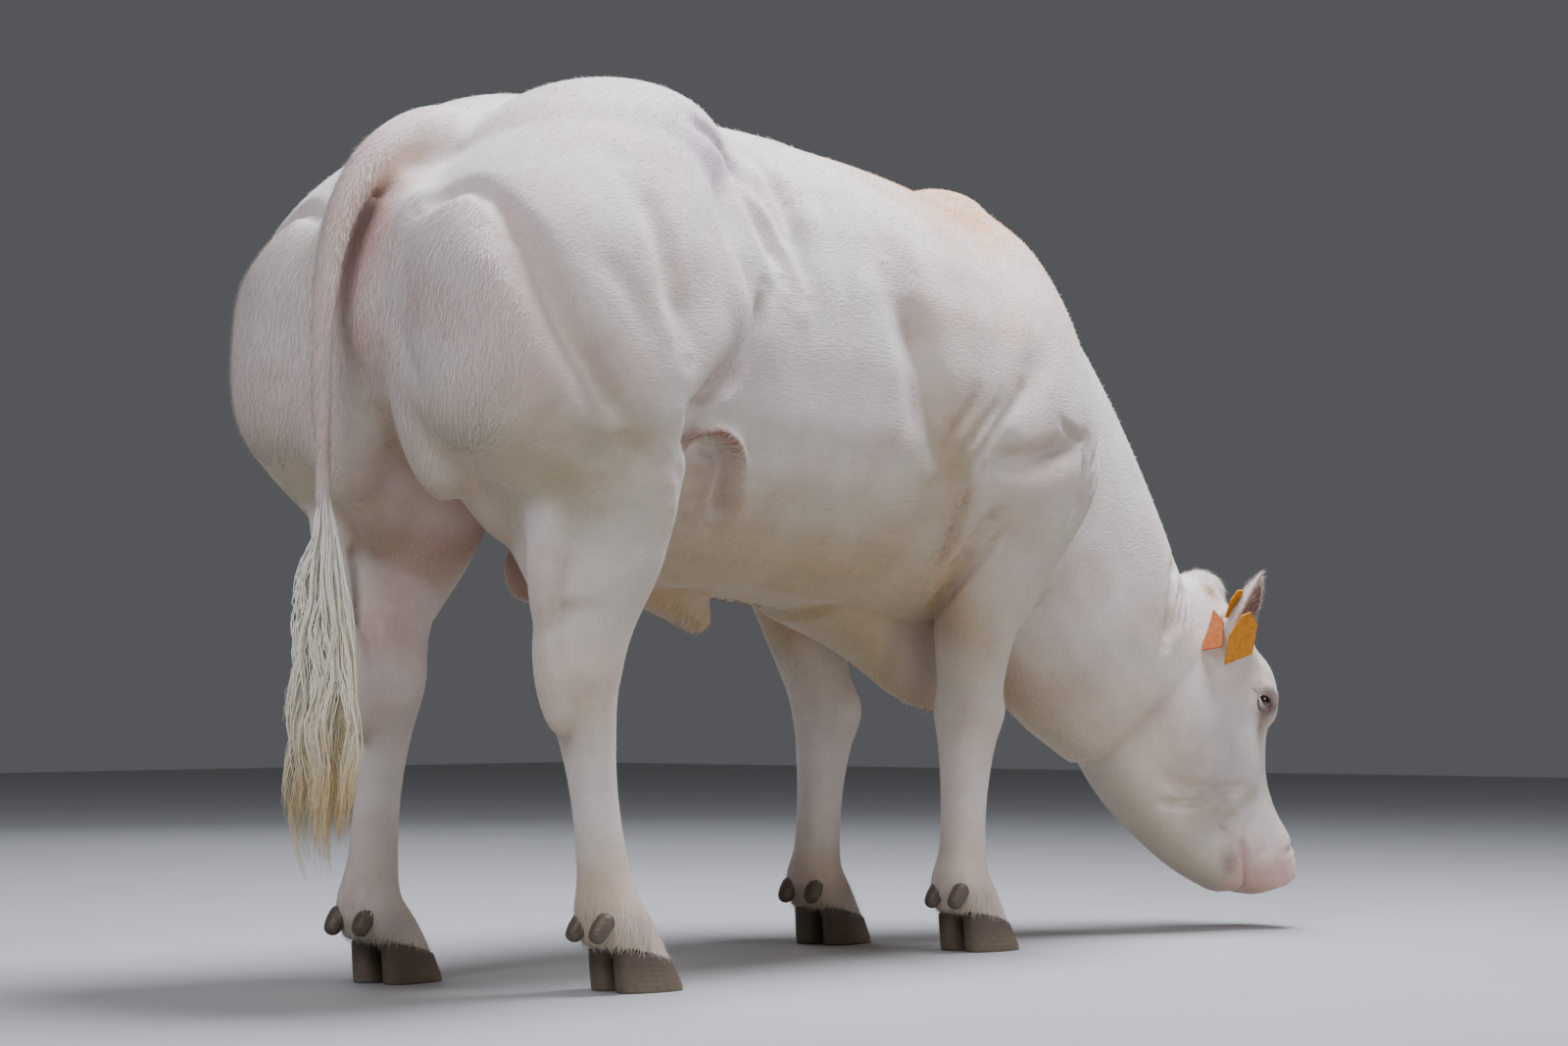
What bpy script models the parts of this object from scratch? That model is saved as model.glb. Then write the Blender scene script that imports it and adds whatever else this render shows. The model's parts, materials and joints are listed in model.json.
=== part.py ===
# A double-muscled beef bull that grazes, as a life-size still model: nose towards +X, left side at +Y.
# The flesh is built from lofts and muscle spindles, fused by a voxel remesh, thinned to facets
# and parted by thin cuts.

import math
import random

import bmesh
import bpy
import numpy as np
from mathutils import Matrix, Vector

# Driving sizes, in metres
WITHERS_HEIGHT = 1.46
RUMP_HEIGHT = 1.50
CHEST_FLOOR = 0.60
BARREL_HALF_WIDTH = 0.37
GAP = 0.0003

# Resolution of the faceted flesh
BODY_VOXEL = 0.011
HEAD_VOXEL = 0.006
BODY_TRIANGLES = 5800
HEAD_TRIANGLES = 1700

# Where each foot stands and how its leg is bent: joints as (forward, left, up)
HIND_LEGS = {
    "right": {"side": -1, "stifle": (-0.615, -0.27, 0.86), "hock": (-0.690, -0.222, 0.50),
              "fetlock": (-0.610, -0.214, 0.125), "toe_out": -8.0},
    "left": {"side": 1, "stifle": (-0.62, 0.26, 0.86), "hock": (-0.754, 0.152, 0.49),
             "fetlock": (-0.745, 0.193, 0.125), "toe_out": 8.0},
}
FORE_LEGS = {
    "right": {"side": -1, "elbow": (0.38, -0.22, 0.80), "knee": (0.455, -0.132, 0.44),
              "fetlock": (0.425, -0.138, 0.125), "toe_out": -6.0},
    "left": {"side": 1, "elbow": (0.32, 0.22, 0.80), "knee": (0.400, 0.165, 0.44),
             "fetlock": (0.385, 0.177, 0.125), "toe_out": 6.0},
}

# The head hangs from the poll, turned a little to the right
POLL = Vector((1.20, -0.18, 0.72))
HEAD_PITCH = math.radians(67.5)
HEAD_YAW = math.radians(-16.0)
HEAD_FRAME = (
    Matrix.Translation(POLL)
    @ Matrix.Rotation(HEAD_YAW, 4, "Z")
    @ Matrix.Rotation(HEAD_PITCH, 4, "Y")
)


def clear_scene():
    for old in list(bpy.data.objects):
        bpy.data.objects.remove(old, do_unlink=True)


def blend(a, b, t):
    return a + (b - a) * t


def smooth_station(stations, position):
    """The station at a fractional position, on a curve through all of them."""
    last = len(stations) - 1
    i = min(int(position), last - 1)
    t = position - i
    before, start = stations[max(i - 1, 0)], stations[i]
    end, after = stations[i + 1], stations[min(i + 2, last)]
    made = []
    for a, b, c, d in zip(before, start, end, after):
        made.append(
            0.5 * (2 * b + (c - a) * t + (2 * a - 5 * b + 4 * c - d) * t**2 + (3 * b - a - 3 * c + d) * t**3)
        )
    return made


def loft(mesh, stations, across=(0, 1, 0), frame=None, sides=24, steps=3, cap=0.5, facing=None):
    """A closed skin through oval sections. A station is forward, left, up, half width,
    half depth above the line, half depth below it, and squareness (2 is an ellipse)."""
    across = Vector(across)
    count = (len(stations) - 1) * steps
    rows = [smooth_station(stations, k / steps) for k in range(count + 1)]
    places = [Vector(row[:3]) for row in rows]
    rings = []
    for k, row in enumerate(rows):
        ahead = Vector(facing) if facing else (places[min(k + 1, count)] - places[max(k - 1, 0)]).normalized()
        above = ahead.cross(across).normalized()
        beside = above.cross(ahead)
        ends = (-1, 0) if k == 0 else (0, 1) if k == count else (0,)
        for end in ends:
            for lift, shrink in (((0.0, 1.0),) if end == 0 else ((0.6, 0.8), (1.0, 0.35))):
                reach = cap * lift * min(row[3:6]) * end
                ring = []
                for n in range(sides):
                    angle = 2 * math.pi * n / sides
                    c, s = math.cos(angle), math.sin(angle)
                    power = 2 / row[6]
                    width = math.copysign(abs(c) ** power, c) * row[3] * shrink
                    depth = math.copysign(abs(s) ** power, s) * (row[4] if s > 0 else row[5]) * shrink
                    ring.append(places[k] + ahead * reach + beside * width + above * depth)
                rings.append((k + end * lift, ring))
    rings.sort(key=lambda item: item[0])
    corners = []
    for _, ring in rings:
        corners.append([mesh.verts.new(frame @ p if frame else p) for p in ring])
    for low, high in zip(corners, corners[1:]):
        for n in range(sides):
            m = (n + 1) % sides
            mesh.faces.new((low[n], low[m], high[m], high[n]))
    mesh.faces.new(list(reversed(corners[0])))
    mesh.faces.new(corners[-1])


def spindle(mesh, start, end, wide, thick, outward, frame=None):
    """A muscle belly: an ellipsoid from start to end, wide across the surface and thick along outward."""
    start, end = Vector(start), Vector(end)
    along = (end - start) / 2
    out = Vector(outward)
    out = (out - along * (out.dot(along) / along.length_squared)).normalized()
    beside = along.normalized().cross(out)
    basis = Matrix((along, beside * wide, out * thick)).transposed().to_4x4()
    place = Matrix.Translation((start + end) / 2) @ basis
    bmesh.ops.create_uvsphere(
        mesh, u_segments=20, v_segments=14, radius=1.0, matrix=frame @ place if frame else place
    )


def both_sides(mesh, start, end, wide, thick, outward):
    for side in (-1, 1):
        flip = Vector((1, side, 1))
        spindle(mesh, Vector(start) * flip, Vector(end) * flip, wide, thick, Vector(outward) * flip)


def trunk(mesh):
    """Barrel, pelvis and chest as one loft from the pin bones to the base of the neck."""
    floor = CHEST_FLOOR
    loft(mesh, [
        (-0.90, 0, 1.18, 0.10, 0.14, 0.18, 2.0),
        (-0.78, 0, 1.14, 0.18, 0.25, 0.28, 2.2),
        (-0.58, 0, 1.10, 0.27, 0.36, 0.34, 2.3),
        (-0.36, 0, 1.07, 0.31, RUMP_HEIGHT - 1.10, 0.42, 2.3),
        (-0.10, 0, 1.04, 0.335, 0.425, 1.00 - floor, 2.25),
        (0.12, 0, 1.03, BARREL_HALF_WIDTH - 0.010, 0.400, 1.01 - floor, 2.2),
        (0.32, 0, 1.03, BARREL_HALF_WIDTH - 0.035, 0.380, 1.03 - floor, 2.15),
        (0.52, 0, 1.03, 0.26, WITHERS_HEIGHT - 1.06, 0.46, 2.1),
        (0.66, 0, 0.99, 0.19, 0.34, 0.46, 2.0),
        (0.76, -0.01, 0.92, 0.13, 0.22, 0.34, 2.0),
    ])


def back_muscles(mesh):
    both_sides(mesh, (-0.55, 0.10, 1.38), (0.55, 0.09, 1.33), 0.10, 0.085, (0, 0.4, 1))
    both_sides(mesh, (0.30, 0.05, 1.36), (0.80, 0.04, 1.26), 0.075, 0.090, (0, 0.5, 1))


def thigh(mesh, side):
    """The whole upper hind limb as one mass, in level sections from the hip down into the gaskin."""
    loft(mesh, [
        (-0.56, side * 0.13, 1.400, 0.100, 0.16, 0.15, 2.1),
        (-0.58, side * 0.15, 1.360, 0.140, 0.19, 0.21, 2.1),
        (-0.60, side * 0.155, 1.317, 0.165, 0.21, 0.25, 2.15),
        (-0.61, side * 0.165, 1.270, 0.185, 0.22, 0.29, 2.15),
        (-0.63, side * 0.180, 1.200, 0.200, 0.23, 0.33, 2.2),
        (-0.64, side * 0.190, 1.120, 0.208, 0.235, 0.358, 2.15),
        (-0.64, side * 0.198, 1.040, 0.208, 0.24, 0.362, 2.15),
        (-0.64, side * 0.202, 0.950, 0.204, 0.155, 0.360, 2.15),
        (-0.64, side * 0.210, 0.870, 0.180, 0.055, 0.325, 2.2),
        (-0.63, side * 0.215, 0.800, 0.156, 0.045, 0.25, 2.2),
        (-0.63, side * 0.205, 0.740, 0.148, 0.060, 0.180, 2.1),
        (-0.65, side * 0.212, 0.680, 0.115, 0.085, 0.130, 2.1),
        (-0.67, side * 0.225, 0.620, 0.080, 0.090, 0.100, 2.1),
    ], sides=36, steps=2, cap=0.6, facing=(0, 0, -1))


def rump_muscles(mesh):
    both_sides(mesh, (-0.24, 0.12, 1.385), (-0.82, 0.12, 1.290), 0.165, 0.150, (0.1, 0.30, 1))
    both_sides(mesh, (-0.52, 0.24, 1.27), (-0.50, 0.28, 0.95), 0.125, 0.115, (0.5, 1, 0))
    both_sides(mesh, (-0.54, 0.19, 1.37), (-0.30, 0.20, 1.365), 0.07, 0.06, (0, 0.6, 1))
    both_sides(mesh, (-0.90, 0.085, 1.27), (-0.875, 0.110, 0.76), 0.085, 0.085, (-1, 0, 0))
    both_sides(mesh, (-0.87, 0.115, 0.98), (-0.74, 0.150, 0.70), 0.070, 0.070, (-1, 0, 0))
    spindle(mesh, (-0.44, 0, 1.415), (-0.90, 0, 1.330), 0.065, 0.050, (0, 0, 1))


def flank_folds(mesh):
    both_sides(mesh, (-0.50, 0.215, 0.92), (-0.10, 0.24, 0.82), 0.10, 0.032, (0, 1, 0.1))


def upper_arm(mesh, side):
    """Shoulder blade, shoulder point and upper arm as one mass, in level sections down into the forearm."""
    loft(mesh, [
        (0.47, side * 0.06, 1.390, 0.070, 0.12, 0.13, 2.1),
        (0.46, side * 0.11, 1.330, 0.105, 0.16, 0.18, 2.1),
        (0.44, side * 0.15, 1.240, 0.135, 0.20, 0.23, 2.2),
        (0.42, side * 0.185, 1.140, 0.148, 0.24, 0.28, 2.2),
        (0.42, side * 0.205, 1.030, 0.152, 0.265, 0.27, 2.2),
        (0.43, side * 0.212, 0.930, 0.150, 0.270, 0.24, 2.2),
        (0.44, side * 0.212, 0.850, 0.138, 0.255, 0.20, 2.2),
        (0.45, side * 0.205, 0.780, 0.118, 0.200, 0.17, 2.1),
        (0.45, side * 0.185, 0.700, 0.096, 0.155, 0.145, 2.1),
        (0.45, side * 0.165, 0.620, 0.080, 0.115, 0.11, 2.1),
    ], sides=32, steps=2, cap=0.6, facing=(0, 0, -1))


def shoulder_muscles(mesh):
    both_sides(mesh, (0.56, 0.13, 1.28), (0.62, 0.22, 0.92), 0.10, 0.090, (0.5, 1, 0.1))
    both_sides(mesh, (0.26, 0.21, 1.16), (0.44, 0.27, 0.82), 0.14, 0.100, (-0.2, 1, 0))
    both_sides(mesh, (0.62, 0.17, 1.02), (0.64, 0.20, 0.82), 0.10, 0.10, (0.6, 1, 0))
    both_sides(mesh, (0.36, 0.11, 0.70), (0.74, 0.09, 0.72), 0.12, 0.10, (0, 0.4, -1))


def brisket(mesh):
    loft(mesh, [
        (0.12, 0, 0.66, 0.12, 0.08, 0.06, 2.0),
        (0.30, 0, 0.62, 0.075, 0.10, 0.09, 2.0),
        (0.46, 0, 0.58, 0.052, 0.12, 0.13, 2.0),
        (0.62, 0, 0.58, 0.048, 0.14, 0.14, 2.0),
        (0.76, -0.01, 0.60, 0.05, 0.14, 0.13, 2.0),
        (0.86, -0.04, 0.54, 0.045, 0.12, 0.11, 2.0),
    ])


def sheath(mesh):
    loft(mesh, [
        (-0.42, 0, 0.70, 0.06, 0.05, 0.05, 2.0),
        (-0.28, 0, 0.66, 0.055, 0.06, 0.045, 2.0),
        (-0.19, 0, 0.62, 0.045, 0.05, 0.035, 2.0),
        (-0.155, 0, 0.59, 0.028, 0.03, 0.022, 2.0),
    ])


def neck(mesh):
    loft(mesh, [
        (0.46, 0, 1.10, 0.16, 0.28, 0.36, 2.1),
        (0.62, 0, 1.05, 0.18, 0.28, 0.38, 2.1),
        (0.75, -0.02, 0.94, 0.18, 0.255, 0.37, 2.1),
        (0.87, -0.06, 0.79, 0.165, 0.215, 0.34, 2.1),
        (0.97, -0.10, 0.65, 0.150, 0.165, 0.33, 2.2),
        (1.07, -0.14, 0.53, 0.125, 0.11, 0.29, 2.2),
    ], across=(0.2, 1, 0), sides=28)
    spindle(mesh, (0.60, 0, 1.33), (1.03, -0.10, 0.90), 0.075, 0.045, (1, 0, 1))


def hind_leg(mesh, stifle, hock, fetlock):
    top, bend, ankle = Vector(stifle), Vector(hock), Vector(fetlock)
    loft(mesh, [
        (*top, 0.10, 0.075, 0.14, 2.1),
        (*top.lerp(bend, 0.45), 0.086, 0.092, 0.102, 2.1),
        (*bend.lerp(top, 0.24), 0.062, 0.073, 0.081, 2.1),
        (*bend, 0.066, 0.066, 0.068, 2.3),
        (*bend.lerp(ankle, 0.22), 0.050, 0.050, 0.050, 2.2),
        (*bend.lerp(ankle, 0.5), 0.038, 0.040, 0.044, 2.2),
        (*ankle.lerp(bend, 0.18), 0.043, 0.042, 0.050, 2.2),
        (*ankle, 0.060, 0.052, 0.058, 2.3),
        (*(ankle + Vector((0.032, 0, -0.055))), 0.060, 0.060, 0.052, 2.4),
        (*(ankle + Vector((0.050, 0, -0.10))), 0.065, 0.068, 0.052, 2.4),
    ])
    # The point of the hock and the tendon above it
    point = bend + Vector((-0.084, 0, 0.072))
    tendon, heel = top + Vector((-0.20, 0, 0.02)), bend + Vector((-0.045, 0, -0.10))
    spindle(mesh, tendon, point + Vector((0, 0, -0.03)), 0.034, 0.030, (-1, 0, 0))
    spindle(mesh, point + Vector((0, 0, 0.035)), heel, 0.034, 0.028, (-1, 0, 0))


def fore_leg(mesh, elbow, knee, fetlock):
    top, bend, ankle = Vector(elbow), Vector(knee), Vector(fetlock)
    loft(mesh, [
        (*(top + Vector((0.06, 0, 0.06))), 0.10, 0.15, 0.17, 2.1),
        (*(top.lerp(bend, 0.25) + Vector((0.02, 0, 0))), 0.092, 0.135, 0.125, 2.1),
        (*top.lerp(bend, 0.60), 0.074, 0.088, 0.080, 2.1),
        (*bend.lerp(top, 0.14), 0.064, 0.064, 0.062, 2.2),
        (*bend, 0.069, 0.066, 0.056, 2.6),
        (*bend.lerp(ankle, 0.20), 0.054, 0.052, 0.056, 2.3),
        (*bend.lerp(ankle, 0.50), 0.044, 0.042, 0.052, 2.2),
        (*ankle.lerp(bend, 0.18), 0.045, 0.044, 0.050, 2.2),
        (*ankle, 0.060, 0.052, 0.058, 2.3),
        (*(ankle + Vector((0.026, 0, -0.055))), 0.060, 0.060, 0.052, 2.4),
        (*(ankle + Vector((0.042, 0, -0.10))), 0.065, 0.068, 0.052, 2.4),
    ])


def skull(mesh):
    """Forehead, face and muzzle, then the lower jaw, in the head's own frame."""
    loft(mesh, [
        (0.01, 0, -0.10, 0.090, 0.08, 0.09, 2.3),
        (0.08, 0, -0.10, 0.115, 0.10, 0.12, 2.5),
        (0.16, 0, -0.10, 0.124, 0.118, 0.13, 2.9),
        (0.25, 0, -0.10, 0.116, 0.126, 0.13, 3.0),
        (0.335, 0, -0.11, 0.098, 0.098, 0.12, 2.7),
        (0.42, 0, -0.12, 0.087, 0.082, 0.10, 2.5),
        (0.50, 0, -0.12, 0.088, 0.078, 0.085, 2.5),
        (0.57, 0, -0.115, 0.097, 0.084, 0.075, 2.6),
        (0.622, 0, -0.118, 0.088, 0.066, 0.062, 2.6),
    ], frame=HEAD_FRAME, sides=28)
    loft(mesh, [
        (0.04, 0, -0.27, 0.098, 0.09, 0.140, 2.6),
        (0.20, 0, -0.29, 0.108, 0.09, 0.138, 2.8),
        (0.32, 0, -0.275, 0.100, 0.09, 0.125, 2.8),
        (0.44, 0, -0.245, 0.086, 0.07, 0.095, 2.6),
        (0.53, 0, -0.210, 0.074, 0.045, 0.070, 2.4),
        (0.595, 0, -0.188, 0.060, 0.030, 0.040, 2.3),
    ], frame=HEAD_FRAME)
    for side in (-1, 1):
        spindle(mesh, (0.02, side * 0.082, -0.21), (0.42, side * 0.072, -0.21), 0.13, 0.046, (0, side, 0),
                HEAD_FRAME)
        # The brow above the eye and the cheek ridge below it
        brow = Vector((0.165, side * 0.086, -0.012)), Vector((0.325, side * 0.084, -0.030))
        spindle(mesh, *brow, 0.050, 0.034, (0, side, 0.7), HEAD_FRAME)
        cheek = Vector((0.24, side * 0.096, -0.085)), Vector((0.46, side * 0.076, -0.130))
        spindle(mesh, *cheek, 0.036, 0.024, (0, side, 0.1), HEAD_FRAME)
    # The dome of the poll
    spindle(mesh, (0.03, -0.06, -0.03), (0.03, 0.06, -0.03), 0.055, 0.050, (-1, 0, 0.5), HEAD_FRAME)


def flesh_mesh():
    mesh = bmesh.new()
    trunk(mesh)
    back_muscles(mesh)
    rump_muscles(mesh)
    flank_folds(mesh)
    shoulder_muscles(mesh)
    brisket(mesh)
    sheath(mesh)
    neck(mesh)
    skull(mesh)
    for side in (-1, 1):
        thigh(mesh, side)
        upper_arm(mesh, side)
    for leg in HIND_LEGS.values():
        hind_leg(mesh, leg["stifle"], leg["hock"], leg["fetlock"])
    for leg in FORE_LEGS.values():
        fore_leg(mesh, leg["elbow"], leg["knee"], leg["fetlock"])
    return mesh


def head_mesh():
    mesh = bmesh.new()
    neck(mesh)
    skull(mesh)
    return mesh


def linked(name, mesh, colour=None, roughness=0.8):
    """A scene object from a finished bmesh, with its own material where a colour is given."""
    data = bpy.data.meshes.new(name)
    mesh.to_mesh(data)
    mesh.free()
    made = bpy.data.objects.new(name, data)
    NODES.objects.link(made)
    if colour:
        coat(made, colour, roughness)
    return made


def coat(made, colour, roughness):
    stuff = bpy.data.materials.new(made.name)
    stuff.use_nodes = True
    shader = stuff.node_tree.nodes["Principled BSDF"]
    shader.inputs["Base Color"].default_value = (*colour, 1.0)
    shader.inputs["Roughness"].default_value = roughness
    shader.inputs["Metallic"].default_value = 0.0
    made.data.materials.clear()
    made.data.materials.append(stuff)


def settled(made):
    """The object with its modifiers turned into mesh."""
    graph = bpy.context.evaluated_depsgraph_get()
    fresh = bpy.data.meshes.new_from_object(made.evaluated_get(graph))
    made.modifiers.clear()
    made.data = fresh
    return made


def heaviness(place):
    """How far the muscles are smoothed into each other: fully on the trunk, not on legs and head."""
    low = min(max((place.z - 0.66) / 0.14, 0.0), 1.0)
    ahead = min(max((1.02 - place.x) / 0.12, 0.0), 1.0)
    return low * ahead


def fused(name, mesh, voxel, softening, merging):
    """The masses as one skin: a voxel remesh, then a softening of the creases and of the trunk."""
    rough = linked(name, mesh)
    remesh = rough.modifiers.new("Fuse", "REMESH")
    remesh.mode = "VOXEL"
    remesh.voxel_size = voxel
    soften = rough.modifiers.new("Soften", "SMOOTH")
    soften.factor = 0.5
    soften.iterations = softening
    settled(rough)
    group = rough.vertex_groups.new(name="trunk")
    for vert in rough.data.vertices:
        share = heaviness(vert.co)
        if share > 0:
            group.add([vert.index], share, "REPLACE")
    merge = rough.modifiers.new("Merge", "SMOOTH")
    merge.factor = 0.5
    merge.iterations = merging
    merge.vertex_group = "trunk"
    return settled(rough)


def pressed(made, line, depth, width, mirror=True):
    """Presses a soft groove along a line on the surface; a negative depth raises a ridge."""
    count = len(made.data.vertices)
    places = np.empty(count * 3)
    normals = np.empty(count * 3)
    made.data.vertices.foreach_get("co", places)
    made.data.vertices.foreach_get("normal", normals)
    places = places.reshape(-1, 3)
    normals = normals.reshape(-1, 3)
    moved = places.copy()
    for flip in ((1, 1, 1), (1, -1, 1)) if mirror else ((1, 1, 1),):
        points = np.array(line) * flip
        nearest = np.full(count, 1e9)
        for start, end in zip(points, points[1:]):
            along = end - start
            share = np.clip((places - start) @ along / (along @ along), 0, 1)
            offset = places - start - share[:, None] * along
            nearest = np.minimum(nearest, np.linalg.norm(offset, axis=1))
        moved -= normals * (depth * np.exp(-((nearest / width) ** 2)))[:, None]
    made.data.vertices.foreach_set("co", moved.ravel())
    made.data.update()
    return made


def thinned(made, triangles):
    made.data.calc_loop_triangles()
    thin = made.modifiers.new("Thin", "DECIMATE")
    thin.ratio = min(1.0, triangles / len(made.data.loop_triangles))
    return settled(made)


def trimmed(made, point, away):
    """The object without what lies beyond a plane, closed flat."""
    mesh = bmesh.new()
    mesh.from_mesh(made.data)
    whole = list(mesh.verts) + list(mesh.edges) + list(mesh.faces)
    bmesh.ops.bisect_plane(mesh, geom=whole, plane_co=point, plane_no=away, clear_outer=True, dist=1e-6)
    rim = [edge for edge in mesh.edges if edge.is_boundary]
    bmesh.ops.triangle_fill(mesh, edges=rim, use_beauty=True, normal=away)
    bmesh.ops.recalc_face_normals(mesh, faces=list(mesh.faces))
    mesh.to_mesh(made.data)
    mesh.free()
    return made


def cutter(name, mesh):
    data = bpy.data.meshes.new(name)
    mesh.to_mesh(data)
    mesh.free()
    made = bpy.data.objects.new(name, data)
    CUTTERS.objects.link(made)
    made.hide_render = True
    made.display_type = "WIRE"
    return made


def carved(made, tool):
    cut = made.modifiers.new("Cut", "BOOLEAN")
    cut.operation = "DIFFERENCE"
    cut.solver = "EXACT"
    cut.object = tool
    return settled(made)


def grown(made, by):
    """A copy of an object's mesh with every face moved out by the same distance."""
    mesh = bmesh.new()
    mesh.from_mesh(made.data)
    mesh.normal_update()
    moves = {vert: vert.normal * by * 1.4 for vert in mesh.verts}
    for vert, move in moves.items():
        vert.co += move
    return mesh


def seated(host, piece):
    """Cuts a seat in the host that clears the piece by the gap on every side."""
    return carved(host, cutter("seat_" + piece.name, grown(piece, 1.5 * GAP)))


def slab(name, middle, across, half, thick=GAP):
    """A thin plate that parts the flesh: middle, the direction it is thin in, and its half sizes."""
    across = Vector(across).normalized()
    turn = Vector((0, 0, 1)).rotation_difference(across).to_matrix().to_4x4()
    mesh = bmesh.new()
    bmesh.ops.create_cube(
        mesh, size=2.0,
        matrix=Matrix.Translation(middle) @ turn @ Matrix.Diagonal((half[0], half[1], thick / 2, 1)),
    )
    return cutter("slab_" + name, mesh)


def loose_parts(made):
    """Splits an object into one object for each closed surface and returns them, largest first."""
    mesh = bmesh.new()
    mesh.from_mesh(made.data)
    mesh.verts.ensure_lookup_table()
    left = set(mesh.verts)
    groups = []
    while left:
        stack = [left.pop()]
        group = set(stack)
        while stack:
            for edge in stack.pop().link_edges:
                for vert in edge.verts:
                    if vert in left:
                        left.discard(vert)
                        group.add(vert)
                        stack.append(vert)
        groups.append(group)
    groups.sort(key=len, reverse=True)
    parts = []
    for group in groups:
        piece = bmesh.new()
        twins = {vert: piece.verts.new(vert.co) for vert in sorted(group, key=lambda v: v.index)}
        for face in mesh.faces:
            if face.verts[0] in group:
                piece.faces.new([twins[vert] for vert in face.verts])
        bmesh.ops.recalc_face_normals(piece, faces=list(piece.faces))
        parts.append(piece)
    mesh.free()
    bpy.data.objects.remove(made, do_unlink=True)
    return parts


def middle_of(mesh):
    low = Vector((min(v.co[k] for v in mesh.verts) for k in range(3)))
    high = Vector((max(v.co[k] for v in mesh.verts) for k in range(3)))
    return (low + high) / 2, high - low


# Grooves between the muscles on the right side, as lines on the surface, and how deep and wide each is pressed.
# The left side gets the same ones mirrored. A negative depth is a ridge.
GROOVES = [
    # Between the ham and the thigh
    ([(-0.93, -0.24, 1.24), (-0.91, -0.344, 1.10), (-0.861, -0.382, 1.0), (-0.79, -0.39, 0.90),
      (-0.74, -0.37, 0.82)], 0.022, 0.036),
    # Behind the front bulge of the thigh, and under it
    ([(-0.58, -0.34, 1.18), (-0.61, -0.39, 1.05), (-0.63, -0.41, 0.96)], 0.012, 0.045),
    ([(-0.64, -0.41, 0.91), (-0.53, -0.38, 0.92), (-0.42, -0.32, 0.95)], 0.016, 0.045),
    # In front of the hip and the thigh
    ([(-0.36, -0.14, 1.43), (-0.31, -0.25, 1.35), (-0.26, -0.28, 1.25), (-0.25, -0.29, 1.10)], 0.018, 0.055),
    # Down the back of the ham
    ([(-1.00, -0.12, 1.12), (-1.01, -0.15, 0.98)], 0.008, 0.030),
    # Behind the shoulder
    ([(-0.02, -0.30, 1.22), (0.036, -0.35, 1.07), (0.059, -0.35, 0.96), (0.094, -0.33, 0.85)], 0.030, 0.050),
    # Across the shoulder above the elbow, and down from the shoulder blade
    ([(0.25, -0.34, 0.89), (0.36, -0.36, 0.885), (0.46, -0.36, 0.92), (0.53, -0.35, 0.93)], 0.014, 0.028),
    ([(0.42, -0.32, 1.13), (0.37, -0.35, 1.05), (0.30, -0.35, 0.95)], 0.012, 0.034),
    # Between the shoulder and the neck
    ([(0.72, -0.20, 1.12), (0.74, -0.24, 0.98), (0.66, -0.28, 0.86)], 0.022, 0.040),
    # Along the spine behind the withers
    ([(0.30, 0, 1.45), (0.05, 0, 1.47), (-0.20, 0, 1.50)], 0.010, 0.030),
]

# Where each part of the parted flesh has its middle, as (forward, left, up)
FLESH_PARTS = {
    "hindquarters": (-0.55, 0.0, 1.10),
    "torso": (0.35, 0.0, 1.00),
    "neck": (0.92, -0.05, 0.80),
    "hind_shank_right": (-0.68, -0.23, 0.56),
    "hind_shank_left": (-0.76, 0.19, 0.56),
    "hind_cannon_right": (-0.63, -0.215, 0.24),
    "hind_cannon_left": (-0.74, 0.19, 0.24),
    "forearm_right": (0.44, -0.15, 0.47),
    "forearm_left": (0.39, 0.17, 0.47),
    "fore_cannon_right": (0.45, -0.137, 0.22),
    "fore_cannon_left": (0.40, 0.175, 0.22),
}
HIDE = (0.80, 0.72, 0.66)
SHANK_TOP = 0.690
SHANK_FOOT = 0.385
FOREARM_TOP = 0.545
FOREARM_FOOT = 0.375
CORONET = 0.066
NECK_CUT = (Vector((0.81, 0, 0.93)), Vector((0.97, 0, -0.24)))
POLL_CUT = (Vector((1.120, -0.15, 0.745)), Vector((0.78, -0.12, -0.61)).normalized())


def part_flesh(body):
    """Parts the fused flesh by thin plates and names what comes loose."""
    carved(body, slab("loin", (-0.08, 0, 1.0), (1, 0, 0), (0.6, 0.6)))
    carved(body, slab("neck", NECK_CUT[0], NECK_CUT[1], (0.62, 0.40)))
    carved(body, slab("poll", POLL_CUT[0] + POLL_CUT[1] * 0.02 + Vector((-0.15, 0.05, -0.19)), POLL_CUT[1],
                      (0.32, 0.45), 0.001))
    for name, leg in HIND_LEGS.items():
        hock = Vector(leg["hock"])
        side = leg["side"]
        carved(body, slab("shank_top_" + name, (-0.66, side * 0.26, SHANK_TOP), (0, 0, 1), (0.34, 0.185)))
        carved(body, slab("shank_foot_" + name, (hock.x, hock.y, SHANK_FOOT), (0, 0, 1), (0.15, 0.12)))
    for name, leg in FORE_LEGS.items():
        knee = Vector(leg["knee"])
        top = (knee.x, knee.y + leg["side"] * 0.06, FOREARM_TOP)
        carved(body, slab("forearm_top_" + name, top, (0, 0, 1), (0.22, 0.135)))
        carved(body, slab("forearm_foot_" + name, (knee.x, knee.y, FOREARM_FOOT), (0, 0, 1), (0.15, 0.09)))
    found = {}
    for piece in loose_parts(body):
        middle, size = middle_of(piece)
        name = min(FLESH_PARTS, key=lambda key: (Vector(FLESH_PARTS[key]) - middle).length)
        if name in found or middle.x > 1.1 or len(piece.verts) < 40:
            print("left out", name, [round(v, 3) for v in middle], len(piece.verts))
            piece.free()
            continue
        found[name] = linked(name, piece, HIDE)
    print("flesh:", ", ".join(sorted(found)))
    return found


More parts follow.
